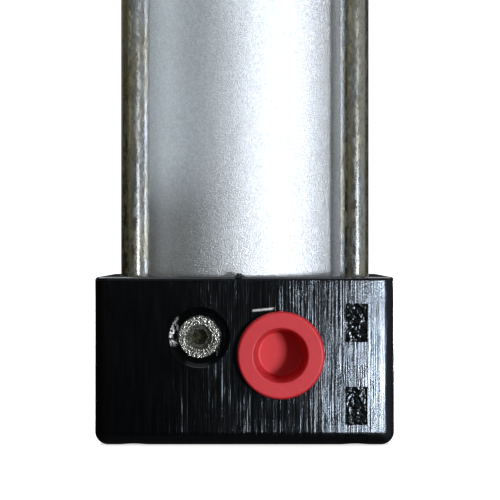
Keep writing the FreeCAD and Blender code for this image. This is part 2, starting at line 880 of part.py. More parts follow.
def port_plug(end):
    """A moulded dust plug: flat flange, tapered skirt and a round hollow open to the outside."""
    plug = new_body(f"{end}_port_plug")
    flange, skirt = "dims.plug_flange / 2", "dims.plug_skirt / 2"
    rim = "dims.plug_flange_height"
    floor = f"({rim} - dims.plug_hollow_depth)"
    bevel = "dims.plug_bevel"
    turned(
        plug,
        "moulding",
        [
            ("0", floor),
            ("dims.plug_hollow_floor / 2", floor),
            ("dims.plug_hollow / 2", rim),
            (f"{flange} - {bevel}", rim),
            (flange, f"{rim} - dims.plug_bevel_height"),
            (flange, "dims.plug_seat_gap"),
            (skirt, "dims.plug_seat_gap"),
            (skirt, "-dims.plug_skirt_length"),
            ("dims.plug_tip / 2", "-dims.plug_depth"),
            ("0", "-dims.plug_depth"),
        ],
    )
    rim_edge = ring_at(f"dims.plug_flange - 2 * {bevel}", rim)
    dressed(plug, "hollow_lip", "dims.plug_lip_round", ring_at("dims.plug_hollow", rim))
    dressed(plug, "hollow_floor", "dims.plug_floor_round", ring_at("dims.plug_hollow_floor", floor))
    dressed(plug, "rim_edge", "dims.plug_rim_round", rim_edge)
    dressed(plug, "tip_edge", "dims.plug_tip_round", ring_at("dims.plug_tip", "-dims.plug_depth"))
    put(
        plug,
        x="dims.port_offset",
        y="-dims.cap_width / 2",
        z=at_cap(end, "dims.port_set_back"),
        rotation=OUT_OF_PORT_FACE,
    )


def needle_place(end, depth="0"):
    """Where a needle's pieces go: their own z = 0 lies at a depth under the port face."""
    return {
        "x": "-dims.needle_offset",
        "y": f"-dims.cap_width / 2 + {depth}",
        "z": at_cap(end, "dims.needle_set_back"),
        "rotation": OUT_OF_PORT_FACE,
    }


def needle_guide(end):
    """The pressed-in guide: a dished face, a thin lip that keeps the needle in, and its thread."""
    outer = "dims.guide_diameter / 2"
    thread = "(dims.needle_head / 2 + dims.running_gap)"
    guide = new_body(f"{end}_needle_guide")
    turned(
        guide,
        "wall",
        [
            ("dims.guide_dish / 2", "-dims.guide_top"),
            (f"{outer} - dims.guide_bevel", "-dims.guide_top"),
            (outer, "-dims.guide_top - dims.guide_bevel_height"),
            (outer, "-dims.guide_length"),
            (thread, "-dims.guide_length"),
            (thread, "-dims.guide_lip_bottom"),
            ("dims.guide_lip_bore / 2", "-dims.guide_lip_bottom"),
            ("dims.guide_lip_bore / 2", "-dims.guide_lip"),
            ("dims.guide_dish / 2 - dims.guide_dish_fall", "-dims.guide_lip"),
        ],
    )
    put(guide, **needle_place(end))


def cushion_needle(end):
    """The needle screw: a head with a hexagon socket, a grooved stem and a tapered tip."""
    needle = new_body(f"{end}_cushion_needle")
    head, stem = "dims.needle_head / 2", "dims.needle_stem / 2"
    groove, tip = "dims.needle_groove / 2", "dims.orifice / 2"
    turned(
        needle,
        "turning",
        [
            ("0", "-dims.needle_top"),
            (f"{head} - dims.edge_break", "-dims.needle_top"),
            (head, "-dims.needle_top - dims.edge_break"),
            (head, "-dims.needle_head_bottom"),
            (stem, "-dims.needle_head_bottom"),
            (stem, "-dims.needle_groove_top"),
            (groove, "-dims.needle_groove_top"),
            (groove, "-dims.needle_groove_bottom"),
            (stem, "-dims.needle_groove_bottom"),
            (stem, "-dims.needle_shoulder"),
            (f"{tip} - dims.needle_tip_gap", "-dims.needle_shoulder - dims.needle_cone"),
            (f"{tip} - dims.needle_tip_taper", "-dims.needle_tip + dims.needle_point_length"),
            ("dims.needle_point", "-dims.needle_tip"),
            ("0", "-dims.needle_tip"),
        ],
    )

    def socket(sketch):
        hexagon(sketch, "dims.needle_hex")

    pocketed(needle, "hexagon_socket", socket, "dims.needle_hex_depth", start="-dims.needle_top")
    put(needle, **needle_place(end))


def needle_o_ring(end):
    middle = "(dims.needle_groove_top + dims.needle_groove_bottom) / 2"
    mean = "(dims.needle_groove + dims.needle_ring_section) / 2 + dims.needle_ring_gap"
    place = needle_place(end, middle)
    o_ring(f"{end}_needle_o_ring", mean, "dims.needle_ring_section", **place)


# ---------------------------------------------------------------- piston and rod


def place_on_piston(piece, end):
    """Pieces of the piston are drawn from its rear face; the front ones are turned round."""
    if end == "rear":
        put(piece, z=PISTON_REAR)
    else:
        put(piece, z=f"{PISTON_REAR} + dims.piston_length", rotation=UPSIDE_DOWN)


def piston_half(end):
    """Half of the piston: a groove for a lip seal, and steps for the magnet and the wear ring."""
    half = new_body(f"piston_{end}_half")
    middle = "dims.piston_length / 2"
    bore = "(dims.rod_spigot / 2 + dims.thread_gap)"
    outer = "dims.piston_diameter / 2"
    lip = f"{outer} - dims.lip_groove_depth"
    wear = f"{outer} - dims.wear_groove_depth"
    magnet = f"{outer} - dims.magnet_groove_depth"
    wear_start = f"{middle} - dims.wear_groove / 2"
    magnet_start = f"{middle} - dims.magnet_groove / 2"
    turned(
        half,
        "section",
        [
            (bore, "0"),
            (f"{outer} - dims.piston_chamfer", "0"),
            (outer, "dims.piston_chamfer"),
            (outer, "dims.lip_groove_start"),
            (lip, "dims.lip_groove_start"),
            (lip, "dims.lip_groove_end"),
            (outer, "dims.lip_groove_end"),
            (outer, wear_start),
            (wear, wear_start),
            (wear, magnet_start),
            (magnet, magnet_start),
            (magnet, middle),
            (bore, middle),
        ],
    )
    place_on_piston(half, end)


def lip_seal(end):
    """A piston lip seal; its open side faces the pressure."""
    seal = new_body(f"piston_{end}_seal")
    root = "(dims.piston_diameter / 2 - dims.lip_groove_depth + dims.seal_gap)"
    wall = "(dims.bore / 2 - dims.running_gap)"
    front = "(dims.lip_groove_start + dims.seal_gap)"
    back = "(dims.lip_groove_end - dims.seal_gap)"
    turned(
        seal,
        "section",
        [
            (root, front),
            (f"{root} + dims.lip_heel", front),
            (f"{root} + dims.lip_slot", f"{front} + dims.lip_slot_depth"),
            (f"{wall} - dims.lip_width", front),
            (wall, f"{front} + dims.lip_edge"),
            (f"{wall} - dims.lip_lean", back),
            (root, back),
        ],
    )
    place_on_piston(seal, end)


def piston_rings():
    """The magnet, the wear ring over it, and the O-ring between the piston and the rod."""
    middle = "dims.piston_length / 2"
    outer = "dims.piston_diameter / 2"
    ring(
        "piston_magnet",
        f"{outer} - dims.magnet_groove_depth + dims.seal_gap",
        f"{outer} - dims.wear_groove_depth - 2 * dims.seal_gap",
        f"{middle} - dims.magnet_groove / 2 + 2 * dims.seal_gap",
        f"{middle} + dims.magnet_groove / 2 - 2 * dims.seal_gap",
        z=PISTON_REAR,
    )
    ring(
        "piston_wear_ring",
        f"{outer} - dims.wear_groove_depth + dims.seal_gap",
        "dims.bore / 2 - dims.running_gap",
        f"{middle} - dims.wear_groove / 2 + 2 * dims.seal_gap",
        f"{middle} + dims.wear_groove / 2 - 2 * dims.seal_gap",
        z=PISTON_REAR,
    )
    seal_middle = "(dims.rod_seal_groove_start + dims.rod_seal_groove_end) / 2"
    mean = "(dims.rod_seal_groove + dims.rod_seal_section) / 2 + dims.rod_seal_gap"
    o_ring("piston_o_ring", mean, "dims.rod_seal_section", z=f"{PISTON_REAR} + {seal_middle}")


def rear_plunger():
    """The rear cushion plunger is also the nut that holds the piston on the rod."""
    outer, nose = "dims.plunger_diameter / 2", "dims.plunger_nose / 2"
    thread = "dims.tail_thread / 2 + dims.thread_gap"
    bottom = "-dims.tail_length - dims.tail_gap"
    plunger = new_body("rear_cushion_plunger")
    turned(
        plunger,
        "turning",
        [
            ("0", "-dims.plunger_length"),
            (nose, "-dims.plunger_length"),
            (outer, "-dims.plunger_length + dims.plunger_taper"),
            (outer, "0"),
            (thread, "0"),
            (thread, bottom),
            ("0", bottom),
        ],
    )

    def socket(sketch):
        hexagon(sketch, "dims.plunger_hex")

    start = "-dims.plunger_length"
    pocketed(plunger, "socket", socket, "dims.plunger_hex_depth", start=start, reverse=True)
    put(plunger, z=PISTON_REAR)


def front_sleeve():
    """The front cushion sleeve slides over the rod against the piston."""
    inner = "dims.sleeve_seat / 2 + dims.thread_gap"
    outer, nose = "dims.plunger_diameter / 2", "dims.plunger_nose / 2"
    sleeve = new_body("front_cushion_sleeve")
    turned(
        sleeve,
        "turning",
        [
            (inner, "0"),
            (outer, "0"),
            (outer, "dims.plunger_length - dims.plunger_taper"),
            (nose, "dims.plunger_length"),
            (inner, "dims.plunger_length"),
        ],
    )
    put(sleeve, z=f"{PISTON_REAR} + dims.piston_length")


def piston_rod():
    """The rod in the piston's frame: z = 0 at the piston's rear face."""
    rod = new_body("piston_rod")
    tail, spigot = "dims.tail_thread / 2", "dims.rod_spigot / 2"
    groove, seat = "dims.rod_seal_groove / 2", "dims.sleeve_seat / 2"
    body, thread = "dims.rod_diameter / 2", "dims.rod_thread / 2"
    relief, core = "dims.rod_thread_relief / 2", "dims.rod_thread_pitch / 2"
    sleeve_end = "(dims.piston_length + dims.plunger_length)"
    shoulder = f"({THREAD_START} - {PISTON_REAR})"
    relief_top = f"({shoulder} + dims.rod_relief_length)"
    nut_top = f"({shoulder} + dims.lock_nut_start + dims.lock_nut_height + dims.rod_core_past_nut)"
    tip = f"({shoulder} + dims.rod_thread_length)"
    turned(
        rod,
        "turning",
        [
            ("0", "-dims.tail_length"),
            (f"{tail} - dims.rod_chamfer", "-dims.tail_length"),
            (tail, "-dims.tail_length + dims.rod_chamfer"),
            (tail, "0"),
            (spigot, "dims.rod_spigot_step"),
            (spigot, "dims.rod_seal_groove_start"),
            (groove, "dims.rod_seal_groove_start"),
            (groove, "dims.rod_seal_groove_end"),
            (spigot, "dims.rod_seal_groove_end"),
            (spigot, "dims.piston_length"),
            (seat, "dims.piston_length"),
            (seat, sleeve_end),
            (body, sleeve_end),
            (body, f"{shoulder} - dims.rod_chamfer"),
            (f"{body} - dims.rod_chamfer", shoulder),
            (relief, shoulder),
            (relief, relief_top),
            (core, f"{relief_top} + dims.edge_break"),
            (core, nut_top),
            (thread, nut_top),
            (thread, f"{tip} - dims.rod_chamfer"),
            (f"{thread} - dims.rod_chamfer", tip),
            ("0", tip),
        ],
    )
    wrench_flats(rod, f"{shoulder} - dims.flats_set_back")
    turned(
        rod,
        "centre_drilling",
        [
            ("0", f"{tip} - dims.drilling_depth"),
            ("dims.drilling_core", f"{tip} - dims.drilling_cone"),
            ("dims.drilling_mouth", f"{tip} + dims.fine_overcut"),
            ("0", f"{tip} + dims.fine_overcut"),
        ],
        cut=True,
    )
    put(rod, z=PISTON_REAR)


def wrench_flats(rod, top):
    """Two parallel flats for a spanner."""

    def flats(sketch):
        width = "dims.rod_diameter"
        for side in ("", "-"):
            near = f"{side}dims.flats_width / 2"
            far = f"{side}dims.rod_diameter"
            outline(sketch, [(f"-{width}", near), (width, near), (width, far), (f"-{width}", far)])

    pocketed(rod, "wrench_flats", flats, "dims.flats_length", start=top)


def lock_nut():
    """A thin hexagon nut with both faces and both ends of its thread chamfered."""
    nut = new_body("rod_lock_nut")

    def section(sketch):
        hexagon(sketch, "dims.lock_nut_width")
        circle(sketch, "0", "0", "dims.lock_nut_bore")

    padded(nut, "blank", section, "dims.lock_nut_height")
    high, fall, lead_in = "dims.lock_nut_height", "dims.lock_nut_fall", "dims.lock_nut_lead_in"
    chamfer_nut_face(nut, "top", high, f"{high} + dims.overcut", f"{high} - {fall}", f"{high} - {lead_in}")
    chamfer_nut_face(nut, "bottom", "0", "-dims.overcut", fall, lead_in)
    put(nut, z=f"{THREAD_START} + dims.lock_nut_start")


def chamfer_nut_face(nut, name, face, beyond, corner_end, thread_end):
    """Cuts the corners of one face back to a cone, and opens the thread's mouth."""
    flat = "dims.lock_nut_width / 2"
    start = f"{flat} - dims.lock_nut_inset"
    end = f"{flat} / cos(30 deg) + dims.lock_nut_clear"
    bore, mouth = "dims.lock_nut_bore / 2", "dims.rod_thread / 2 + dims.edge_break"
    turned(
        nut,
        f"{name}_corner_chamfer",
        [
            (start, face),
            (end, corner_end),
            (end, beyond),
            (start, beyond),
        ],
        cut=True,
    )
    turned(
        nut,
        f"{name}_thread_chamfer",
        [(mouth, beyond), (mouth, face), (bore, thread_end), (f"{bore} - dims.overcut", beyond)],
        cut=True,
    )


# ---------------------------------------------------------------- small pieces


def hexagon(sketch, across_flats):
    """A regular hexagon round the origin, two of its corners on the X axis."""
    radius = f"({across_flats}) / 2 / cos(30 deg)"
    apothem = f"({across_flats}) / 2"
    outline(
        sketch,
        [
            (f"{radius}", "0"),
            (f"{radius} / 2", apothem),
            (f"-{radius} / 2", apothem),
            (f"-{radius}", "0"),
            (f"-{radius} / 2", f"-{apothem}"),
            (f"{radius} / 2", f"-{apothem}"),
        ],
    )


def ring(label, inner, outer, low, high, z):
    """A plain ring of rectangular section."""
    piece = new_body(label)
    turned(piece, "section", [(inner, low), (outer, low), (outer, high), (inner, high)])
    put(piece, z=z)


def o_ring(label, mean_radius, section, x="0", y="0", z="0", rotation=None):
    torus = doc.addObject("Part::Torus", label)
    torus.setExpression("Radius1", mean_radius)
    torus.setExpression("Radius2", f"({section}) / 2")
    keep(torus, label)
    put(torus, x, y, z, rotation)


# ---------------------------------------------------------------- assembly

for cap_end in ("rear", "front"):
    end_cap(cap_end)
    cap_seals(cap_end)
    sleeve_nuts(cap_end)
    needle_guide(cap_end)
    cushion_needle(cap_end)
    needle_o_ring(cap_end)
    port_plug(cap_end)
    piston_half(cap_end)
    lip_seal(cap_end)
barrel()
for corner_name, corner_x, corner_y in corners():
    tie_rod(f"tie_rod_{corner_name}", corner_x, corner_y)
rod_guide()
piston_rings()
rear_plunger()
front_sleeve()
piston_rod()
lock_nut()
doc.recompute()

failed = [o.Label for o in doc.Objects if {"Invalid", "Error"} & set(o.State)]
if failed:
    raise RuntimeError(f"features failed: {failed}")
for piece in sub_parts:
    if piece.Shape.isNull() or not piece.Shape.isValid() or not piece.Shape.Solids:
        raise RuntimeError(f"{piece.Label} has no valid solid")

os.makedirs("parts", exist_ok=True)
for piece in sub_parts:
    piece.Shape.exportStep(f"parts/{piece.Label}.step")
    box = piece.Shape.BoundBox
    print(
        f"{piece.Label:28s} solids {len(piece.Shape.Solids)}  volume {piece.Shape.Volume:9.1f}"
        f"  z {box.ZMin:7.2f} to {box.ZMax:7.2f}"
    )
print(len(sub_parts), "sub-parts")
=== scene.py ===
"""Looks for a tie-rod pneumatic cylinder: materials, thread detail, floor, light and camera.

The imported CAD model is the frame. Every length is in metres. The cylinder stands on its rear cap, its
rod points up along +Z, and both ports face -Y, which is the side that the camera looks at.
"""

import json
import math
import random

import bmesh
import bpy
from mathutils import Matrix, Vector, noise


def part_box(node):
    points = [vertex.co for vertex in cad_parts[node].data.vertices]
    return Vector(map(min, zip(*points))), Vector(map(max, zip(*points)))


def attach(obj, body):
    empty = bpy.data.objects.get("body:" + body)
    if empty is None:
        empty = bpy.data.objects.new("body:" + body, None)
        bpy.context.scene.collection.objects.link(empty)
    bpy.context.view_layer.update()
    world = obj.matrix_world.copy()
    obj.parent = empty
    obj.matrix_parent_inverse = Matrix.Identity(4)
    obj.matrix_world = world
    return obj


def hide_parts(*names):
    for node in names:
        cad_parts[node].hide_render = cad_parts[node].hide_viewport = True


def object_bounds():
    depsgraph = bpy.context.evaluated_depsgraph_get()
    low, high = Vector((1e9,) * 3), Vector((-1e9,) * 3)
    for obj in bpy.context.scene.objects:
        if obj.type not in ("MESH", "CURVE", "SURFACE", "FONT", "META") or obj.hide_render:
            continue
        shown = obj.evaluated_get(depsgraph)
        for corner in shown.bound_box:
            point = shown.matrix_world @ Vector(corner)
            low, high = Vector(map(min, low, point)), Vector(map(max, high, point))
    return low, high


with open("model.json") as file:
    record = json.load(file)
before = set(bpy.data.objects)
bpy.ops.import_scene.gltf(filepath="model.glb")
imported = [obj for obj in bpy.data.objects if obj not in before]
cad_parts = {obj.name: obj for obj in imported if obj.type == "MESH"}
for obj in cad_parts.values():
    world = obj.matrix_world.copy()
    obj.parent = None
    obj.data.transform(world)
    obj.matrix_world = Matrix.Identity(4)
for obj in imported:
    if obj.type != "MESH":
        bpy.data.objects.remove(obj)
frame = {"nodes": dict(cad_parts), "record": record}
bpy.context.view_layer.update()
cad_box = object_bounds()

MM = 0.001
SEED = 40

# Sizes of the CAD model that the materials and the detail pieces go by.
CAP_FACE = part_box("rear_cap")[0].y  # the face with the ports
PORT_RADIUS = 6.6 * MM  # plain mouth of a port
PLUG_SKIRT = 6.45 * MM  # radius of a dust plug's skirt at its flange
PLUG_PARALLEL = 1.5 * MM  # the skirt tapers from this depth on
PLUG_TIP = 6.15 * MM  # radius at its tip
PLUG_LENGTH = 7.0 * MM
NEEDLE_RECESS = 5.1 * MM  # radius of the countersink round a needle

# Where the paint changes its look: near the edges of the CAD model's recesses, or a little past them.
COUNTERSINK_REACH = 7.0 * MM  # deeper than the countersink, and short of the far face
MARK_MIDDLE = 18.6 * MM  # x of the two recessed marks, which are one above the other
MARK_HALF_WIDTH = 1.8 * MM
MARK_DEPTH = 0.6 * MM

# How the cap's faces fall away from flat: by FALL_RATE times the square of what is past FALL_START.
FALL_START = 4.0 * MM
FALL_RATE = -0.0041 / MM


def centre_of(node):
    low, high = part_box(node)
    return (low + high) / 2


# ---------------------------------------------------------------- node helpers


class Nodes:
    """A node tree, with short calls for the nodes that this scene uses."""

    def __init__(self, tree):
        self.tree = tree

    def put(self, socket, value):
        """Links another node's output to an input, or sets the input to a plain value."""
        if isinstance(value, bpy.types.NodeSocket):
            self.tree.links.new(value, socket)
        elif isinstance(value, (tuple, list)) and len(socket.default_value) == 4 and len(value) == 3:
            socket.default_value = (*value, 1.0)
        else:
            socket.default_value = value

    def node(self, kind, **inputs):
        """A new node, with its inputs given by name."""
        made = self.tree.nodes.new(kind)
        for name, value in inputs.items():
            self.put(made.inputs[name.replace("_", " ")], value)
        return made

    def math(self, operation, first, second=0.0):
        made = self.tree.nodes.new("ShaderNodeMath")
        made.operation = operation
        self.put(made.inputs[0], first)
        self.put(made.inputs[1], second)
        return made.outputs[0]

    def vector_math(self, operation, first, second=(0.0, 0.0, 0.0)):
        made = self.tree.nodes.new("ShaderNodeVectorMath")
        made.operation = operation
        self.put(made.inputs[0], first)
        self.put(made.inputs[1], second)
        return made.outputs

    def span(self, value, low, high, start=0.0, end=1.0):
        """Maps low..high to start..end, clamped."""
        made = self.tree.nodes.new("ShaderNodeMapRange")
        for socket, item in zip(made.inputs, (value, low, high, start, end)):
            self.put(socket, item)
        return made.outputs[0]

    def mix(self, share, first, second):
        """A colour between two colours."""
        made = self.tree.nodes.new("ShaderNodeMix")
        made.data_type = "RGBA"
        self.put(made.inputs[0], share)
        self.put(made.inputs[6], first)
        self.put(made.inputs[7], second)
        return made.outputs[2]

    def blend(self, share, first, second):
        """A number between two numbers."""
        made = self.tree.nodes.new("ShaderNodeMix")
        self.put(made.inputs[0], share)
        self.put(made.inputs[2], first)
        self.put(made.inputs[3], second)
        return made.outputs[0]


class Shader(Nodes):
    """A material with a principled surface, made in the CAD model's own coordinates."""

    def __init__(self, name):
        self.material = bpy.data.materials.new(name)
        self.material.use_nodes = True
        super().__init__(self.material.node_tree)
        self.surface = self.tree.nodes["Principled BSDF"]
        self.place = self.node("ShaderNodeTexCoord").outputs["Object"]

    def stretched(self, scale):
        """Object coordinates times a scale for each axis, in cells per metre."""
        return self.node("ShaderNodeMapping", Vector=self.place, Scale=scale).outputs[0]

    def noise(self, cell, detail=2.0, roughness=0.5, distortion=0.0):
        """Noise whose features are about one cell wide: one size, or one for each axis."""
        sizes = cell if isinstance(cell, tuple) else (cell, cell, cell)
        place = self.stretched(tuple(1.0 / size for size in sizes))
        made = self.node(
            "ShaderNodeTexNoise",
            Vector=place,
            Scale=1.0,
            Detail=detail,
            Roughness=roughness,
            Distortion=distortion,
        )
        return made.outputs["Fac"]

    def grains(self, cell, output="Distance"):
        """Irregular grains about one cell wide."""
        place = self.stretched((1.0 / cell,) * 3)
        return self.node("ShaderNodeTexVoronoi", Vector=place, Scale=1.0).outputs[output]

    def bump(self, height, distance, strength=1.0, under=None):
        """A normal from a height of 0..1 that stands for a real distance."""
        made = self.node("ShaderNodeBump", Height=height, Distance=distance, Strength=strength)
        if under is not None:
            self.put(made.inputs["Normal"], under)
        return made.outputs[0]

    def axes(self):
        """The x, y and z of a place on the object."""
        split = self.node("ShaderNodeSeparateXYZ", Vector=self.place)
        return split.outputs

    def upright(self):
        """1 on an upright face and 0 on a level one."""
        normal = self.node("ShaderNodeTexCoord").outputs["Normal"]
        level = self.math("ABSOLUTE", self.node("ShaderNodeSeparateXYZ", Vector=normal).outputs["Z"])
        return self.math("SUBTRACT", 1.0, level)

    def distance_from(self, point, flat=(1.0, 1.0, 1.0)):
        """How far the surface is from a point, with an axis left out where flat is 0."""
        moved = self.vector_math("SUBTRACT", self.place, tuple(point))[0]
        scaled = self.vector_math("MULTIPLY", moved, flat)[0]
        return self.vector_math("LENGTH", scaled)["Value"]

    def finish(self, **inputs):
        """Sets the surface's inputs, and gives the material."""
        for name, value in inputs.items():
            self.put(self.surface.inputs[name.replace("_", " ")], value)
        return self.material


# ---------------------------------------------------------------- materials


def scratch_share(shader):
    """Where a tool has scratched the paint, just above the rear dust plug."""
    x, y, z = shader.axes()
    port = centre_of("rear_port_plug")
    middle = port.x - 2.9 * MM
    height = port.z + 7.62 * MM
    slope = 0.1
    rise = shader.math("MULTIPLY", shader.math("SUBTRACT", x, port.x - 2.6 * MM), slope)
    line = shader.math("ADD", rise, height)
    off_line = shader.math("ABSOLUTE", shader.math("SUBTRACT", z, line))
    thin = shader.span(off_line, 0.1 * MM, 0.24 * MM, 1.0, 0.0)
    along = shader.math("ABSOLUTE", shader.math("SUBTRACT", x, middle))
    short = shader.span(along, 1.6 * MM, 1.9 * MM, 1.0, 0.0)
    on_face = shader.span(y, CAP_FACE, CAP_FACE + 0.1 * MM, 1.0, 0.0)
    broken = shader.span(shader.noise((0.5 * MM, 0.5 * MM, 0.1 * MM), detail=3.0), 0.36, 0.44)
    mask = shader.math("MULTIPLY", shader.math("MULTIPLY", thin, short), broken)
    return shader.math("MULTIPLY", mask, on_face)


def bare_port_share(shader):
    """Inside the two ports, where the thread was cut after painting."""
    share = 0.0
    for plug in ("rear_port_plug", "front_port_plug"):
        away = shader.distance_from(centre_of(plug), (1.0, 0.0, 1.0))
        inside = shader.span(away, PORT_RADIUS + 0.1 * MM, PORT_RADIUS + 0.4 * MM, 1.0, 0.0)
        share = shader.math("MAXIMUM", share, inside)
    front_half = shader.span(shader.axes()[1], 0.0, -5.0 * MM)
    return shader.math("MULTIPLY", share, front_half)


def mark_share(shader):
    """The recessed marks, whose floors are left as cast."""
    x, y, _ = shader.axes()
    off_middle = shader.math("ABSOLUTE", shader.math("SUBTRACT", x, MARK_MIDDLE))
    in_column = shader.span(off_middle, MARK_HALF_WIDTH, MARK_HALF_WIDTH + 0.1 * MM, 1.0, 0.0)
    floor_depth = CAP_FACE + MARK_DEPTH
    under_face = shader.span(y, CAP_FACE + 0.02 * MM, CAP_FACE + 0.06 * MM)
    near_face = shader.span(y, floor_depth, floor_depth + 0.1 * MM, 1.0, 0.0)
    return shader.math("MULTIPLY", in_column, shader.math("MULTIPLY", under_face, near_face))


def edge_fall(shader):
    """The cap's faces fall away a little towards their long edges, where sanding rounded them."""
    x, y, _ = shader.axes()
    fall = 0.0
    for across in (x, y):
        past = shader.math("SUBTRACT", shader.math("ABSOLUTE", across), FALL_START)
        past = shader.math("MAXIMUM", past, 0.0)
        square = shader.math("MULTIPLY", past, past)
        fall = shader.math("ADD", fall, shader.math("MULTIPLY", square, FALL_RATE))
    return fall


def countersink_share(shader, end):
    """The countersink round a needle, from just under the cap's face down."""
    away = shader.distance_from(centre_of(f"{end}_cushion_needle"), (1.0, 0.0, 1.0))
    inside = shader.span(away, NEEDLE_RECESS, NEEDLE_RECESS - 0.1 * MM)
    y = shader.axes()[1]
    under_face = shader.span(y, CAP_FACE + 0.02 * MM, CAP_FACE + 0.1 * MM)
    hole_end = CAP_FACE + COUNTERSINK_REACH
    near_face = shader.span(y, hole_end, hole_end + 1.0 * MM, 1.0, 0.0)
    return shader.math("MULTIPLY", inside, shader.math("MULTIPLY", under_face, near_face))


def driver_chips_share(shader):
    """Bare metal on the left of the rear countersink, where a driver slipped."""
    needle = centre_of("rear_cushion_needle")
    x, _, z = shader.axes()
    left = shader.span(x, needle.x - 3.4 * MM, needle.x - 3.8 * MM)
    above_or_below = shader.math("ABSOLUTE", shader.math("SUBTRACT", z, needle.z + 1.0 * MM))
    level = shader.span(above_or_below, 1.8 * MM, 2.6 * MM, 1.0, 0.0)
    chips = shader.span(shader.noise(0.5 * MM, detail=3.0, roughness=0.65), 0.47, 0.53)
    mask = shader.math("MULTIPLY", shader.math("MULTIPLY", left, level), chips)
    return shader.math("MULTIPLY", mask, countersink_share(shader, "rear"))


def sanded_relief(shader):
    """The normal of a face that was sanded along Z, apart from its rough-cast marks."""
    streaks = shader.noise((0.30 * MM, 0.30 * MM, 26.0 * MM), detail=3.0, roughness=0.6)
    hairs = shader.noise((0.15 * MM, 0.15 * MM, 6.0 * MM), detail=1.0, roughness=0.5)
    pebble = shader.noise(0.22 * MM, detail=1.0, roughness=0.5)
    sanded = shader.span(shader.noise((6.0 * MM, 6.0 * MM, 14.0 * MM), detail=2.0), 0.38, 0.62, 0.7, 1.0)
    sanded = shader.math("MULTIPLY", sanded, shader.upright())
    height = shader.math("ADD", streaks, shader.math("MULTIPLY", hairs, 0.3))
    height = shader.math("ADD", height, shader.math("MULTIPLY", pebble, 0.24))
    marks = mark_share(shader)
    plain = shader.math("SUBTRACT", 1.0, marks)
    height = shader.math("MULTIPLY", height, shader.math("MULTIPLY", sanded, plain))
    normal = shader.bump(height, 0.060 * MM)
    normal = shader.bump(shader.math("MULTIPLY", edge_fall(shader), plain), 1.0, 1.0, normal)
    rough_cast = shader.math("MULTIPLY", shader.noise(0.9 * MM, detail=2.0, roughness=0.5), marks)
    return shader.bump(rough_cast, 0.35 * MM, 1.0, normal)


def black_paint():
    """Gloss black paint over faces sanded along Z, scratched and worn in places."""
    shader = Shader("black_paint_look")
    dust = shader.span(shader.noise(0.35 * MM, detail=3.0, roughness=0.7), 0.62, 0.78, 0.0, 0.35)
    colour = shader.mix(dust, (0.0012, 0.0012, 0.0014), (0.007, 0.007, 0.008))
    chips = driver_chips_share(shader)
    chipped = shader.math("MAXIMUM", scratch_share(shader), chips)
    colour = shader.mix(chipped, colour, (0.62, 0.62, 0.60))
    bare = bare_port_share(shader)
    colour = shader.mix(bare, colour, (0.52, 0.53, 0.55))
    gloss = shader.span(shader.noise((0.8 * MM, 0.8 * MM, 6.0 * MM), detail=2.0), 0.3, 0.7, 0.15, 0.22)
    gloss = shader.blend(chipped, gloss, 0.35)
    gloss = shader.blend(bare, gloss, 0.38)
    # The paint reflects less in the needles' countersinks: painted shade in those recesses.
    countersinks = [countersink_share(shader, end) for end in ("rear", "front")]
    countersink_painted_shade = shader.math("MAXIMUM", *countersinks)
    return shader.finish(
        Base_Color=colour,
        Metallic=shader.math("MAXIMUM", bare, chips),
        Roughness=gloss,
        Specular_IOR_Level=shader.span(countersink_painted_shade, 0.0, 1.0, 0.5, 0.12),
        Specular_Tint=(0.80, 0.88, 1.0),
        Normal=sanded_relief(shader),
    )


def anodised_aluminium():
    """Blasted, clear anodised: fine grains that sparkle, painted glints among them, under a satin sheen.
    """
    shader = Shader("anodised_aluminium_look")
    grain = shader.noise(0.17 * MM, detail=1.0, roughness=0.6)
    coarse = shader.noise(0.5 * MM, detail=2.0, roughness=0.5)
    height = shader.math("ADD", grain, shader.math("MULTIPLY", coarse, 0.12))
    normal = shader.bump(height, 0.12 * MM)
    tone = shader.span(shader.noise((9.0 * MM, 9.0 * MM, 30.0 * MM), detail=3.0), 0.3, 0.7)
    colour = shader.mix(tone, (0.66, 0.68, 0.72), (0.74, 0.75, 0.78))
    # Random grains lighter in the colour: painted glints that stand in for the grains' sparkle.
    painted_glint = shader.span(shader.grains(0.3 * MM, "Color"), 0.2, 0.9)
    colour = shader.mix(painted_glint, colour, (0.86, 0.88, 0.92))
    bright = shader.span(shader.grains(0.26 * MM), 0.1, 0.55, 0.36, 0.5)
    return shader.finish(Base_Color=colour, Metallic=1.0, Roughness=bright, Normal=normal)


def zinc_plated_steel():
    """Bright zinc over drawn steel, mottled and faintly yellow in places."""
    shader = Shader("zinc_plated_steel_look")
    mottle = shader.noise((0.35 * MM, 0.35 * MM, 1.2 * MM), detail=5.0, roughness=0.7)
    clouds = shader.noise((2.6 * MM, 2.6 * MM, 14.0 * MM), detail=4.0, roughness=0.65)
    drawn = shader.noise((0.25 * MM, 0.25 * MM, 30.0 * MM), detail=2.0)
    normal = shader.bump(drawn, 0.012 * MM)
    normal = shader.bump(mottle, 0.004 * MM, 1.0, normal)
    patchy = shader.span(clouds, 0.42, 0.58)
    colour = shader.mix(patchy, (0.60, 0.575, 0.47), (0.60, 0.625, 0.655))
    worn = shader.span(mottle, 0.5, 0.68)
    colour = shader.mix(worn, colour, (0.27, 0.26, 0.23))
    bloom = shader.noise((0.9 * MM, 0.9 * MM, 2.6 * MM), detail=6.0, roughness=0.75, distortion=0.3)
    matt = shader.span(bloom, 0.46, 0.6)
    gloss = shader.blend(matt, shader.span(mottle, 0.3, 0.7, 0.12, 0.22), 0.46)
    return shader.finish(Base_Color=colour, Metallic=1.0, Roughness=gloss, Normal=normal)


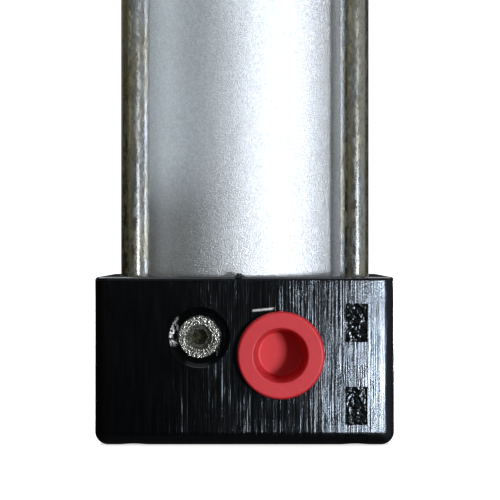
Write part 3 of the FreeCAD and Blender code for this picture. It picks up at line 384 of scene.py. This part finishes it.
def guide_steel():
    """Turned steel, scuffed and a little dirty."""
    shader = Shader("guide_steel_look")
    scuffs = shader.noise((0.35 * MM, 0.35 * MM, 0.7 * MM), detail=4.0, roughness=0.75)
    height = shader.math("ADD", scuffs, shader.grains(0.3 * MM))
    normal = shader.bump(height, 0.06 * MM)
    dirt = shader.span(scuffs, 0.42, 0.62)
    colour = shader.mix(dirt, (0.34, 0.335, 0.31), (0.10, 0.098, 0.088))
    gloss = shader.span(scuffs, 0.3, 0.7, 0.15, 0.34)
    return shader.finish(Base_Color=colour, Metallic=1.0, Roughness=gloss, Normal=normal)


def needle_steel():
    """Turned steel, finely pitted and filmed with old oil, with painted shade deep in its socket."""
    shader = Shader("needle_steel_look")
    _, y, _ = shader.axes()
    # Darker from 1.6 mm under the cap's face down: painted shade in the socket.
    socket_painted_shade = shader.span(y, CAP_FACE + 1.6 * MM, CAP_FACE + 2.6 * MM)
    film = shader.noise(0.5 * MM, detail=3.0, roughness=0.7)
    colour = shader.mix(film, (0.34, 0.33, 0.29), (0.14, 0.135, 0.11))
    colour = shader.mix(socket_painted_shade, colour, (0.10, 0.105, 0.065))
    normal = shader.bump(shader.noise(0.3 * MM, detail=3.0, roughness=0.6), 0.04 * MM)
    gloss = shader.span(film, 0.3, 0.7, 0.14, 0.34)
    return shader.finish(Base_Color=colour, Metallic=1.0, Roughness=gloss, Normal=normal)


def red_plastic():
    """Soft moulded polyethylene: waxy, slightly translucent, with faint flow marks."""
    shader = Shader("red_plastic_look")
    flow = shader.noise((2.6 * MM, 6.0 * MM, 2.6 * MM), detail=3.0, roughness=0.6, distortion=0.4)
    fine = shader.noise(0.25 * MM, detail=3.0, roughness=0.6)
    height = shader.math("ADD", fine, shader.math("MULTIPLY", flow, 2.0))
    normal = shader.bump(height, 0.02 * MM)
    colour = shader.mix(flow, (0.56, 0.018, 0.026), (0.66, 0.030, 0.040))
    gloss = shader.span(fine, 0.3, 0.7, 0.42, 0.56)
    shader.surface.subsurface_method = "RANDOM_WALK"
    return shader.finish(
        Base_Color=colour,
        Roughness=gloss,
        Normal=normal,
        Subsurface_Weight=0.12,
        Subsurface_Radius=(1.0, 0.16, 0.12),
        Subsurface_Scale=0.6 * MM,
    )


def hard_chrome():
    """Ground and hard chromed: a mirror with faint rings from grinding."""
    shader = Shader("hard_chrome_look")
    rings = shader.noise((9.0 * MM, 9.0 * MM, 0.1 * MM), detail=3.0, roughness=0.6)
    waves = shader.noise((6.0 * MM, 6.0 * MM, 2.2 * MM), detail=2.0)
    height = shader.math("ADD", rings, shader.math("MULTIPLY", waves, 1.5))
    normal = shader.bump(height, 0.004 * MM)
    colour = shader.mix(waves, (0.78, 0.79, 0.80), (0.84, 0.845, 0.85))
    gloss = shader.span(rings, 0.3, 0.7, 0.05, 0.14)
    return shader.finish(Base_Color=colour, Metallic=1.0, Roughness=gloss, Normal=normal)


def seal_rubber():
    """Nitrile rubber with a faint bloom."""
    shader = Shader("seal_rubber_look")
    bloom = shader.noise(0.8 * MM, detail=3.0, roughness=0.6)
    normal = shader.bump(shader.noise(0.15 * MM, detail=3.0), 0.012 * MM)
    colour = shader.mix(shader.span(bloom, 0.5, 0.75), (0.014, 0.014, 0.015), (0.04, 0.04, 0.042))
    gloss = shader.span(bloom, 0.3, 0.7, 0.38, 0.6)
    return shader.finish(Base_Color=colour, Roughness=gloss, Normal=normal)


def bush_bronze():
    """Sintered bronze: grainy, with oil in its pores."""
    shader = Shader("bush_bronze_look")
    pores = shader.span(shader.grains(0.3 * MM), 0.0, 0.3)
    colour = shader.mix(pores, (0.22, 0.13, 0.05), (0.62, 0.42, 0.2))
    normal = shader.bump(pores, 0.02 * MM)
    gloss = shader.span(shader.noise(0.6 * MM, detail=3.0), 0.3, 0.7, 0.3, 0.5)
    return shader.finish(Base_Color=colour, Metallic=1.0, Roughness=gloss, Normal=normal)


def piston_aluminium():
    """Bare aluminium with turning marks round the Z axis."""
    shader = Shader("piston_aluminium_look")
    rings = shader.noise((5.0 * MM, 5.0 * MM, 0.16 * MM), detail=2.0)
    stains = shader.noise(3.0 * MM, detail=3.0, roughness=0.6)
    normal = shader.bump(rings, 0.015 * MM)
    colour = shader.mix(stains, (0.62, 0.62, 0.63), (0.76, 0.76, 0.77))
    gloss = shader.span(rings, 0.3, 0.7, 0.25, 0.42)
    return shader.finish(Base_Color=colour, Metallic=1.0, Roughness=gloss, Normal=normal)


def bonded_ferrite():
    """Magnet powder in a plastic binder: dark grey with metal flecks."""
    shader = Shader("bonded_ferrite_look")
    flecks = shader.span(shader.grains(0.3 * MM), 0.0, 0.14, 1.0, 0.0)
    colour = shader.mix(flecks, (0.06, 0.06, 0.065), (0.2, 0.2, 0.21))
    normal = shader.bump(shader.noise(0.3 * MM, detail=3.0), 0.02 * MM)
    gloss = shader.span(shader.noise(1.2 * MM, detail=2.0), 0.3, 0.7, 0.45, 0.65)
    return shader.finish(Base_Color=colour, Roughness=gloss, Normal=normal)


def wear_ring_plastic():
    """Filled bearing plastic, off-white, with the fibres that run round it."""
    shader = Shader("wear_ring_plastic_look")
    fibres = shader.noise((3.0 * MM, 3.0 * MM, 0.12 * MM), detail=3.0, roughness=0.6)
    colour = shader.mix(fibres, (0.80, 0.77, 0.68), (0.88, 0.86, 0.80))
    normal = shader.bump(fibres, 0.015 * MM)
    gloss = shader.span(fibres, 0.3, 0.7, 0.4, 0.55)
    return shader.finish(Base_Color=colour, Roughness=gloss, Normal=normal)


def machined_thread():
    """Freshly cut aluminium thread with a film of cutting oil."""
    shader = Shader("machined_thread_look")
    cut = shader.noise((0.2 * MM, 1.4 * MM, 0.2 * MM), detail=3.0, roughness=0.6)
    colour = shader.mix(cut, (0.5, 0.51, 0.53), (0.66, 0.67, 0.69))
    normal = shader.bump(cut, 0.015 * MM)
    gloss = shader.span(cut, 0.3, 0.7, 0.24, 0.42)
    return shader.finish(Base_Color=colour, Metallic=1.0, Roughness=gloss, Normal=normal)


# The function of each material slot of the CAD model, which has the slot's name.
MATERIALS = (
    black_paint,
    anodised_aluminium,
    zinc_plated_steel,
    guide_steel,
    needle_steel,
    red_plastic,
    hard_chrome,
    seal_rubber,
    bush_bronze,
    piston_aluminium,
    bonded_ferrite,
    wear_ring_plastic,
)
LOOKS = {material.__name__: material() for material in MATERIALS}


def dress_cad_nodes():
    """Gives each CAD node the look of its own material slot."""
    for part in frame["record"]["subparts"]:
        node = frame["nodes"][part["node"]]
        for slot in node.material_slots:
            slot.material = LOOKS[part["material_slot"]]


# ---------------------------------------------------------------- mesh helpers


def piece_from(name, points, faces, look, body, sharp=30.0):
    """A mesh piece that rides on a CAD body, with its sharp edges kept sharp."""
    mesh = bpy.data.meshes.new(name)
    mesh.from_pydata(points, [], faces)
    tidy = bmesh.new()
    tidy.from_mesh(mesh)
    bmesh.ops.remove_doubles(tidy, verts=tidy.verts, dist=0.0005 * MM)
    bmesh.ops.dissolve_degenerate(tidy, edges=tidy.edges, dist=0.0005 * MM)
    bmesh.ops.recalc_face_normals(tidy, faces=tidy.faces)
    tidy.to_mesh(mesh)
    tidy.free()
    mesh.shade_smooth()
    mesh.set_sharp_from_angle(angle=math.radians(sharp))
    mesh.materials.append(look)
    piece = bpy.data.objects.new(name, mesh)
    bpy.context.scene.collection.objects.link(piece)
    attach(piece, body)
    return piece


def rows_to_faces(rows, columns, closed):
    """Quads between neighbouring rows of points, joined round if closed."""
    faces = []
    last = columns if closed else columns - 1
    for row in range(rows - 1):
        for column in range(last):
            beside = (column + 1) % columns
            here, above = row * columns, (row + 1) * columns
            faces.append((here + column, here + beside, above + beside, above + column))
    return faces


# ---------------------------------------------------------------- piston rod with its thread

ROD_RADIUS = 8.0 * MM
TAIL_RADIUS = 5.0 * MM  # thread for the cushion plunger, plain here
SPIGOT_RADIUS = 6.0 * MM  # inside the piston
SPIGOT_STEP = 0.2 * MM
GROOVE_RADIUS = 4.65 * MM  # for the O-ring inside the piston
GROOVE_LOW = 4.0 * MM
GROOVE_HIGH = 6.0 * MM
CUSHION_RADIUS = 7.0 * MM  # inside the cushion sleeve
CHAMFER = 1.0 * MM
FLAT_HALF = 7.0 * MM
FLAT_LENGTH = 6.0 * MM
FLAT_TO_SHOULDER = 2.5 * MM
RELIEF_RADIUS = 5.1 * MM
RELIEF_LENGTH = 1.2 * MM
NUT_TO_SHOULDER = 1.6 * MM
NUT_CLEARANCE = 0.2 * MM
THREAD_PITCH = 1.25 * MM
THREAD_OUTER = 6.0 * MM
THREAD_ROOT = 5.233 * MM
THREAD_MIDDLE = 5.594 * MM
UNDER_NUT = 5.6 * MM  # the thread is turned down to this where the lock nut runs
ROWS_A_TURN = 16
STEPS_ROUND = 120
DRILLING = (  # radius and depth below the rod's tip
    (THREAD_OUTER - CHAMFER, 0.0),
    (2.0 * MM, 0.0),
    (0.8 * MM, 2.0 * MM),
    (0.0, 2.6 * MM),
)


def rod_places():
    """Places along the rod that its outline needs, from the CAD model's own boxes."""
    low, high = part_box("piston_rod")
    piston_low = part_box("piston_rear_half")[0].z
    sleeve_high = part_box("front_cushion_sleeve")[1].z
    nut_low, nut_high = (corner.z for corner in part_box("rod_lock_nut"))
    shoulder = nut_low - NUT_TO_SHOULDER
    return low.z, high.z, piston_low, sleeve_high, shoulder, nut_high + NUT_CLEARANCE


def thread_radius(turn, z, start, nut_top, tip):
    """The metric thread's radius at a share of a turn and a height."""
    phase = (z / THREAD_PITCH - turn) % 1.0
    sharp_height = math.sqrt(3.0) / 2.0 * THREAD_PITCH
    radius = THREAD_MIDDLE + sharp_height * (0.5 - abs(2.0 * phase - 1.0))
    crest = UNDER_NUT if z < nut_top else THREAD_OUTER
    radius = min(max(radius, THREAD_ROOT), crest)
    lead_in_slope = 1.25
    lead_in = RELIEF_RADIUS + lead_in_slope * (z - start)
    lead_out = THREAD_OUTER - CHAMFER + (tip - z)
    return min(radius, lead_in, lead_out)


def rod_angles():
    """Even steps round the rod, and the four edges of its wrench flats."""
    edge = math.asin(FLAT_HALF / ROD_RADIUS)
    edges = [edge, math.pi - edge, math.pi + edge, 2.0 * math.pi - edge]
    even = [2.0 * math.pi * step / STEPS_ROUND for step in range(STEPS_ROUND)]
    return sorted(even + edges)


def rod_rings(angles):
    """The turned part of the rod from its tail to the thread relief, ring by ring."""
    tail, _, piston, sleeve, shoulder, _ = rod_places()
    spigot_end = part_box("piston_front_half")[1].z
    flats_high = shoulder - FLAT_TO_SHOULDER
    flats_low = flats_high - FLAT_LENGTH
    outline = [
        (0.0, tail),
        (TAIL_RADIUS - CHAMFER, tail),
        (TAIL_RADIUS, tail + CHAMFER),
        (TAIL_RADIUS, piston),
        (SPIGOT_RADIUS, piston + SPIGOT_STEP),
        (SPIGOT_RADIUS, piston + GROOVE_LOW),
        (GROOVE_RADIUS, piston + GROOVE_LOW),
        (GROOVE_RADIUS, piston + GROOVE_HIGH),
        (SPIGOT_RADIUS, piston + GROOVE_HIGH),
        (SPIGOT_RADIUS, spigot_end),
        (CUSHION_RADIUS, spigot_end),
        (CUSHION_RADIUS, sleeve),
        (ROD_RADIUS, sleeve),
        (ROD_RADIUS, flats_low),
        ("flats", flats_low),
        ("flats", flats_high),
        (ROD_RADIUS, flats_high),
        (ROD_RADIUS, shoulder - CHAMFER),
        (ROD_RADIUS - CHAMFER, shoulder),
        (RELIEF_RADIUS, shoulder),
        (RELIEF_RADIUS, shoulder + RELIEF_LENGTH),
    ]
    rings = []
    for radius, z in outline:
        ring = []
        for angle in angles:
            reach = radius
            if radius == "flats":
                reach = min(ROD_RADIUS, FLAT_HALF / max(abs(math.sin(angle)), 1e-6))
            ring.append((reach * math.cos(angle), reach * math.sin(angle), z))
        rings.append(ring)
    return rings


def thread_rings(angles):
    """Rings that climb with the helix, so that each crest and root runs along an edge."""
    _, tip, _, _, shoulder, nut_top = rod_places()
    start = shoulder + RELIEF_LENGTH
    step = THREAD_PITCH / ROWS_A_TURN
    count = math.ceil((tip - start) / step)
    rings = []
    for row in range(-ROWS_A_TURN, count + 1):
        ring = []
        for angle in angles:
            turn = angle / (2.0 * math.pi)
            z = min(max(start + row * step + turn * THREAD_PITCH, start), tip)
            radius = thread_radius(turn, z, start, nut_top, tip)
            ring.append((radius * math.cos(angle), radius * math.sin(angle), z))
        rings.append(ring)
    return rings


def piston_rod():
    """The whole rod, with a real helical thread, wrench flats and a drilled centre."""
    angles = rod_angles()
    tip = rod_places()[1]
    lower, thread = rod_rings(angles), thread_rings(angles)
    drilling = [
        [(radius * math.cos(angle), radius * math.sin(angle), tip - depth) for angle in angles]
        for radius, depth in DRILLING
    ]
    columns = len(angles)
    points, faces = [], []
    for block, climbing in ((lower, False), (thread, True), (drilling, False)):
        base = len(points)
        points += [point for ring in block for point in ring]
        faces += [
            tuple(base + corner for corner in face)
            for face in rows_to_faces(len(block), columns, not climbing)
        ]
        if climbing:
            faces += climbing_seam(base, len(block), columns)
    look = LOOKS["hard_chrome"]
    rod = piece_from("piston_rod_threaded", points, faces, look, "piston_rod")
    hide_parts("piston_rod")
    return rod


def climbing_seam(base, rows, columns):
    """Joins the last point of each ring to the first point of the ring one turn further up."""
    faces = []
    for row in range(rows - 1):
        up = row + ROWS_A_TURN
        first = min(up, rows - 1)
        second = min(up + 1, rows - 1)
        faces.append(
            (
                base + row * columns + columns - 1,
                base + first * columns,
                base + second * columns,
                base + (row + 1) * columns + columns - 1,
            )
        )
    return faces


# ---------------------------------------------------------------- small details of the caps


def port_thread(end, look):
    """The thread's crests in a port's mouth: a helical ridge that just clears the tapered dust plug."""
    pitch = 1.337 * MM  # 19 turns to the inch
    first, last = 1.0 * MM, PLUG_LENGTH - 0.1 * MM  # depths of the ridge's ends
    clearance = 0.03 * MM  # from the ridge's crest to the plug
    sunk = 0.03 * MM  # how far the ridge's foot goes into the port's wall
    half = 0.46 * pitch  # half the width of its foot
    land = 0.06 * pitch  # half the width of its crest
    steps_a_turn = 48
    steps = round((last - first) / pitch * steps_a_turn)
    centre = centre_of(f"{end}_port_plug")
    points = []
    for step in range(steps + 1):
        angle = 2.0 * math.pi * step / steps_a_turn
        depth = first + pitch * step / steps_a_turn
        taper = max(depth - PLUG_PARALLEL, 0.0) / (PLUG_LENGTH - PLUG_PARALLEL)
        crest = PLUG_SKIRT + clearance + (PLUG_TIP - PLUG_SKIRT) * taper
        run_out = min(step, steps - step, steps_a_turn // 2) / (steps_a_turn // 2)
        crest = PORT_RADIUS + (crest - PORT_RADIUS) * run_out
        for radius, along in (
            (PORT_RADIUS + sunk, -half),
            (crest, -land),
            (crest, land),
            (PORT_RADIUS + sunk, half),
        ):
            points.append(
                (
                    centre.x + radius * math.cos(angle),
                    CAP_FACE + depth + along,
                    centre.z + radius * math.sin(angle),
                )
            )
    faces = rows_to_faces(steps + 1, 4, True)
    faces += [(0, 1, 2, 3), tuple(4 * steps + corner for corner in (3, 2, 1, 0))]
    return piece_from(f"{end}_port_thread", points, faces, look, "housing")


def paint_burr():
    """A bead of paint left on the rear cap's inner edge, beside the barrel."""
    half = Vector((0.85 * MM, 0.5 * MM, 0.5 * MM))
    place = Vector((-0.8 * MM, CAP_FACE + 0.5 * MM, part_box("barrel")[0].z + 2.05 * MM))
    lump_height = 0.55
    lumps_across = 2.1
    columns, rows = 28, 15
    points = []
    for row in range(rows):
        tilt = math.pi * row / (rows - 1)
        out = math.sin(tilt)
        for column in range(columns):
            angle = 2.0 * math.pi * column / columns
            way = Vector((math.cos(tilt), out * math.cos(angle), out * math.sin(angle)))
            lump = 1.0 + lump_height * noise.noise(way * lumps_across + Vector((SEED, 0.0, 0.0)))
            points.append(tuple(place + Vector(half[k] * way[k] * lump for k in range(3))))
    faces = rows_to_faces(rows, columns, True)
    return piece_from("paint_burr", points, faces, LOOKS["black_paint"], "housing", 80.0)


def gate_mark(end):
    """The torn nub that the mould's gate leaves on the rim of a dust plug."""
    centre = centre_of(f"{end}_port_plug")
    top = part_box(f"{end}_port_plug")[1].z
    rng = random.Random(SEED)
    radius = 0.42 * MM
    across, through = 1.5, 0.7  # its radius along the rim and through the flange, as shares
    narrowing, raggedness = 0.55, 0.12
    height = 0.3 * MM
    sunk = 0.25 * MM  # how far its foot goes into the flange
    flange_middle = CAP_FACE - 0.75 * MM
    rings, columns = 5, 14
    points = []
    for ring in range(rings):
        share = ring / (rings - 1)
        for column in range(columns):
            angle = 2.0 * math.pi * column / columns
            reach = radius * (1.0 - narrowing * share) * (1.0 + raggedness * (rng.random() - 0.5))
            lift = height * share - sunk
            if ring == rings - 1:
                lift += 0.2 * height * rng.random()
            points.append(
                (
                    centre.x + across * reach * math.cos(angle),
                    flange_middle + through * reach * math.sin(angle),
                    top + lift,
                )
            )
    faces = rows_to_faces(rings, columns, True)
    faces.append(tuple(range(columns - 1, -1, -1)))
    faces.append(tuple((rings - 1) * columns + column for column in range(columns)))
    name = f"{end}_plug_gate_mark"
    return piece_from(name, points, faces, LOOKS["red_plastic"], f"{end}_plug", 50.0)


# ---------------------------------------------------------------- floor, light and camera


def floor():
    """A plain pale floor that fades into the backdrop."""
    reach = 6.0  # from its middle to each edge
    top = cad_box[0].z - 0.02 * MM
    mesh = bpy.data.meshes.new("floor")
    corners = [(-reach, -reach, top), (reach, -reach, top), (reach, reach, top), (-reach, reach, top)]
    mesh.from_pydata(corners, [], [(0, 1, 2, 3)])
    shader = Shader("pale_floor_look")
    mottle = shader.noise(60.0 * MM, detail=3.0)
    colour = shader.mix(mottle, (0.80, 0.80, 0.80), (0.84, 0.84, 0.84))
    far = shader.span(shader.distance_from((0.0, 0.0, 0.0)), 0.15, 0.7)
    glow = shader.blend(far, 0.7, 1.1)
    look = shader.finish(
        Base_Color=colour,
        Roughness=0.9,
        Specular_IOR_Level=0.1,
        Emission_Color=(1.0, 1.0, 1.0),
        Emission_Strength=glow,
    )
    mesh.materials.append(look)
    plane = bpy.data.objects.new("floor", mesh)
    bpy.context.scene.collection.objects.link(plane)
    plane.visible_glossy = False
    plane.visible_shadow = False
    plane.visible_diffuse = False


DIM = (0.012, 0.012, 0.012)


def reflected_room(nodes):
    """The room that the object reflects: a wall on each side, dark by the camera and behind."""
    direction = nodes.node("ShaderNodeTexCoord").outputs["Generated"]
    x, y, z = nodes.node("ShaderNodeSeparateXYZ", Vector=direction).outputs

    def where(first, second):
        """Fades in where each of two coordinates goes from its first value to its second."""
        return nodes.math("MULTIPLY", nodes.span(*first), nodes.span(*second))

    layers = [
        (where((y, -0.5, -0.8), (z, 0.03, 0.05)), (0.26, 0.27, 0.27)),  # wall in front
        (where((x, 0.4, 0.7), (y, 0.3, 0.0)), (0.33, 0.34, 0.36)),  # wall on the right
        (where((x, -0.15, -0.3), (z, 0.018, 0.03)), (0.24, 0.25, 0.25)),  # grey wall on the left
        (where((x, -0.3, -0.45), (z, 0.05, 0.075)), (0.34, 0.33, 0.22)),  # its beige upper part
        (where((x, -0.2, -0.4), (z, 0.022, 0.012)), (0.030, 0.024, 0.014)),  # dark skirting
        (where((x, -0.72, -0.90), (z, 0.2, 0.08)), (0.012, 0.010, 0.006)),  # dark corner on the far left
        (where((x, -0.25, -0.55), (z, 0.14, 0.24)), (0.03, 0.03, 0.03)),  # dark above the left wall
        (nodes.span(y, 0.6, 0.9), DIM),  # behind the object
        (where((y, -0.7, -0.88), (z, 0.06, 0.03)), DIM),  # beside the camera
        (nodes.span(z, 0.4, 0.8), (0.13, 0.14, 0.15)),  # ceiling
        (nodes.span(z, -0.4, -0.8), (0.06, 0.06, 0.06)),  # ground
    ]
    colour = (0.065, 0.068, 0.056)
    for share, shade in layers:
        colour = nodes.mix(share, colour, shade)
    return colour


def studio_world():
    """White to the camera, and a dim room in reflections."""
    world = bpy.data.worlds.new("studio")
    world.use_nodes = True
    world.node_tree.nodes.clear()
    nodes = Nodes(world.node_tree)
    room = nodes.node("ShaderNodeBackground", Color=reflected_room(nodes)).outputs[0]
    white = nodes.node("ShaderNodeBackground", Color=(1.0, 1.0, 1.0), Strength=1.05).outputs[0]
    seen_by_camera = nodes.node("ShaderNodeLightPath").outputs["Is Camera Ray"]
    both = nodes.node("ShaderNodeMixShader")
    for socket, item in zip(both.inputs, (seen_by_camera, room, white)):
        nodes.put(socket, item)
    nodes.node("ShaderNodeOutputWorld", Surface=both.outputs[0])
    bpy.context.scene.world = world


def lamp(name, azimuth, elevation, distance, size, power, colour, aim):
    """A soft box that points at a place. Azimuth 0 is the camera's side, and 90 is the right."""
    light = bpy.data.lights.new(name, "AREA")
    light.shape = "RECTANGLE"
    light.size, light.size_y = size
    light.energy = power
    light.color = colour
    a, e = math.radians(azimuth), math.radians(elevation)
    away = Vector((math.sin(a) * math.cos(e), -math.cos(a) * math.cos(e), math.sin(e)))
    box = bpy.data.objects.new(name, light)
    box.location = aim + away * distance
    box.rotation_mode = "QUATERNION"
    box.rotation_quaternion = away.to_track_quat("Z", "Y")
    bpy.context.scene.collection.objects.link(box)
    return box


def shine_on(light, nodes, state):
    """Lights only these CAD nodes, or every piece but these where the state is EXCLUDE."""
    group = bpy.data.collections.new(f"{light.name}_receivers")
    for node in nodes:
        group.objects.link(frame["nodes"][node])
    for member in group.collection_objects:
        member.light_linking.link_state = state
    light.light_linking.receiver_collection = group


def lights():
    """A small key light low on the right, cool light from the left, and soft fill above and behind.

    The tie rods, the barrel's sides and the backs of the caps have lamps that light nothing else.
    """
    low, high = cad_box
    cap = Vector((0.0, 0.0, 30.0 * MM))
    middle = (low + high) / 2
    above = Vector((0.0, 0.0, 293.0 * MM))  # leaves the barrel's foot out of the left lamps' beams
    key_box, side_box, left_box = (0.18, 0.12), (0.2, 0.4), (0.12, 0.5)
    daylight, cool, warm = (0.90, 0.955, 1.0), (0.80, 0.93, 1.0), (1.0, 0.99, 0.97)
    rods = [f"tie_rod_{side}_{hand}" for side in ("port_side", "back") for hand in ("left", "right")]
    key = lamp("key", 31.0, -5.0, 1.0, key_box, 8.4, daylight, cap)
    shine_on(key, rods, "EXCLUDE")
    rod_key = lamp("rod_key", 26.0, -6.0, 1.0, (0.25, 0.12), 1.6, (0.90, 0.96, 1.0), cap)
    shine_on(rod_key, rods, "INCLUDE")
    right_wash = lamp("right_wash", 78.0, 5.0, 0.5, side_box, 0.26, (0.88, 0.945, 1.0), middle)
    shine_on(right_wash, ["barrel"], "INCLUDE")
    left_beam = lamp("left_beam", -48.0, 0.0, 0.5, left_box, 0.005, cool, above)
    left_wash = lamp("left_wash", -80.0, 0.0, 0.5, left_box, 0.030, cool, above)
    for light in (left_beam, left_wash):
        light.data.spread = math.radians(2.0)
        shine_on(light, ["barrel"], "INCLUDE")
    # Only the barrel blocks this one, so that the tie rods cast no shadow on it.
    left_wash.light_linking.blocker_collection = left_wash.light_linking.receiver_collection
    back_key = lamp("back_key", 150.0, -5.0, 1.0, key_box, 7.0, daylight, middle)
    shine_on(back_key, ["rear_cap", "front_cap"], "INCLUDE")
    lamp("top_fill", 0.0, 78.0, 1.2, (1.0, 1.0), 5.0, warm, middle)
    for name, azimuth in (("back_left", -140.0), ("back_right", 140.0)):
        lamp(name, azimuth, 55.0, 1.2, (1.1, 0.8), 12.0, (1.0, 1.0, 1.0), middle)


EYE = (0.9 * MM, -375.0 * MM, 32.5 * MM)
SENSOR_WIDTH = 36.0  # in millimetres, as Blender wants it
FOCAL_LENGTH = 151.6


def camera():
    """Level with the barrel's foot, square on to the side with the ports."""
    data = bpy.data.cameras.new("camera")
    data.sensor_width = SENSOR_WIDTH
    data.lens = FOCAL_LENGTH
    data.clip_start = 0.01
    data.clip_end = 50.0
    eye = bpy.data.objects.new("camera", data)
    eye.location = EYE
    eye.rotation_euler = (math.radians(90.0), 0.0, 0.0)
    bpy.context.scene.collection.objects.link(eye)
    bpy.context.scene.camera = eye


def write_sizes():
    """Brings the scene up to date after the pieces are added."""
    bpy.context.view_layer.update()


camera()
lights()
studio_world()
floor()
dress_cad_nodes()
piston_rod()
thread_look = machined_thread()
for cap_end in ("rear", "front"):
    port_thread(cap_end, thread_look)
    gate_mark(cap_end)
paint_burr()
bpy.context.scene.view_settings.view_transform = "Standard"
write_sizes()
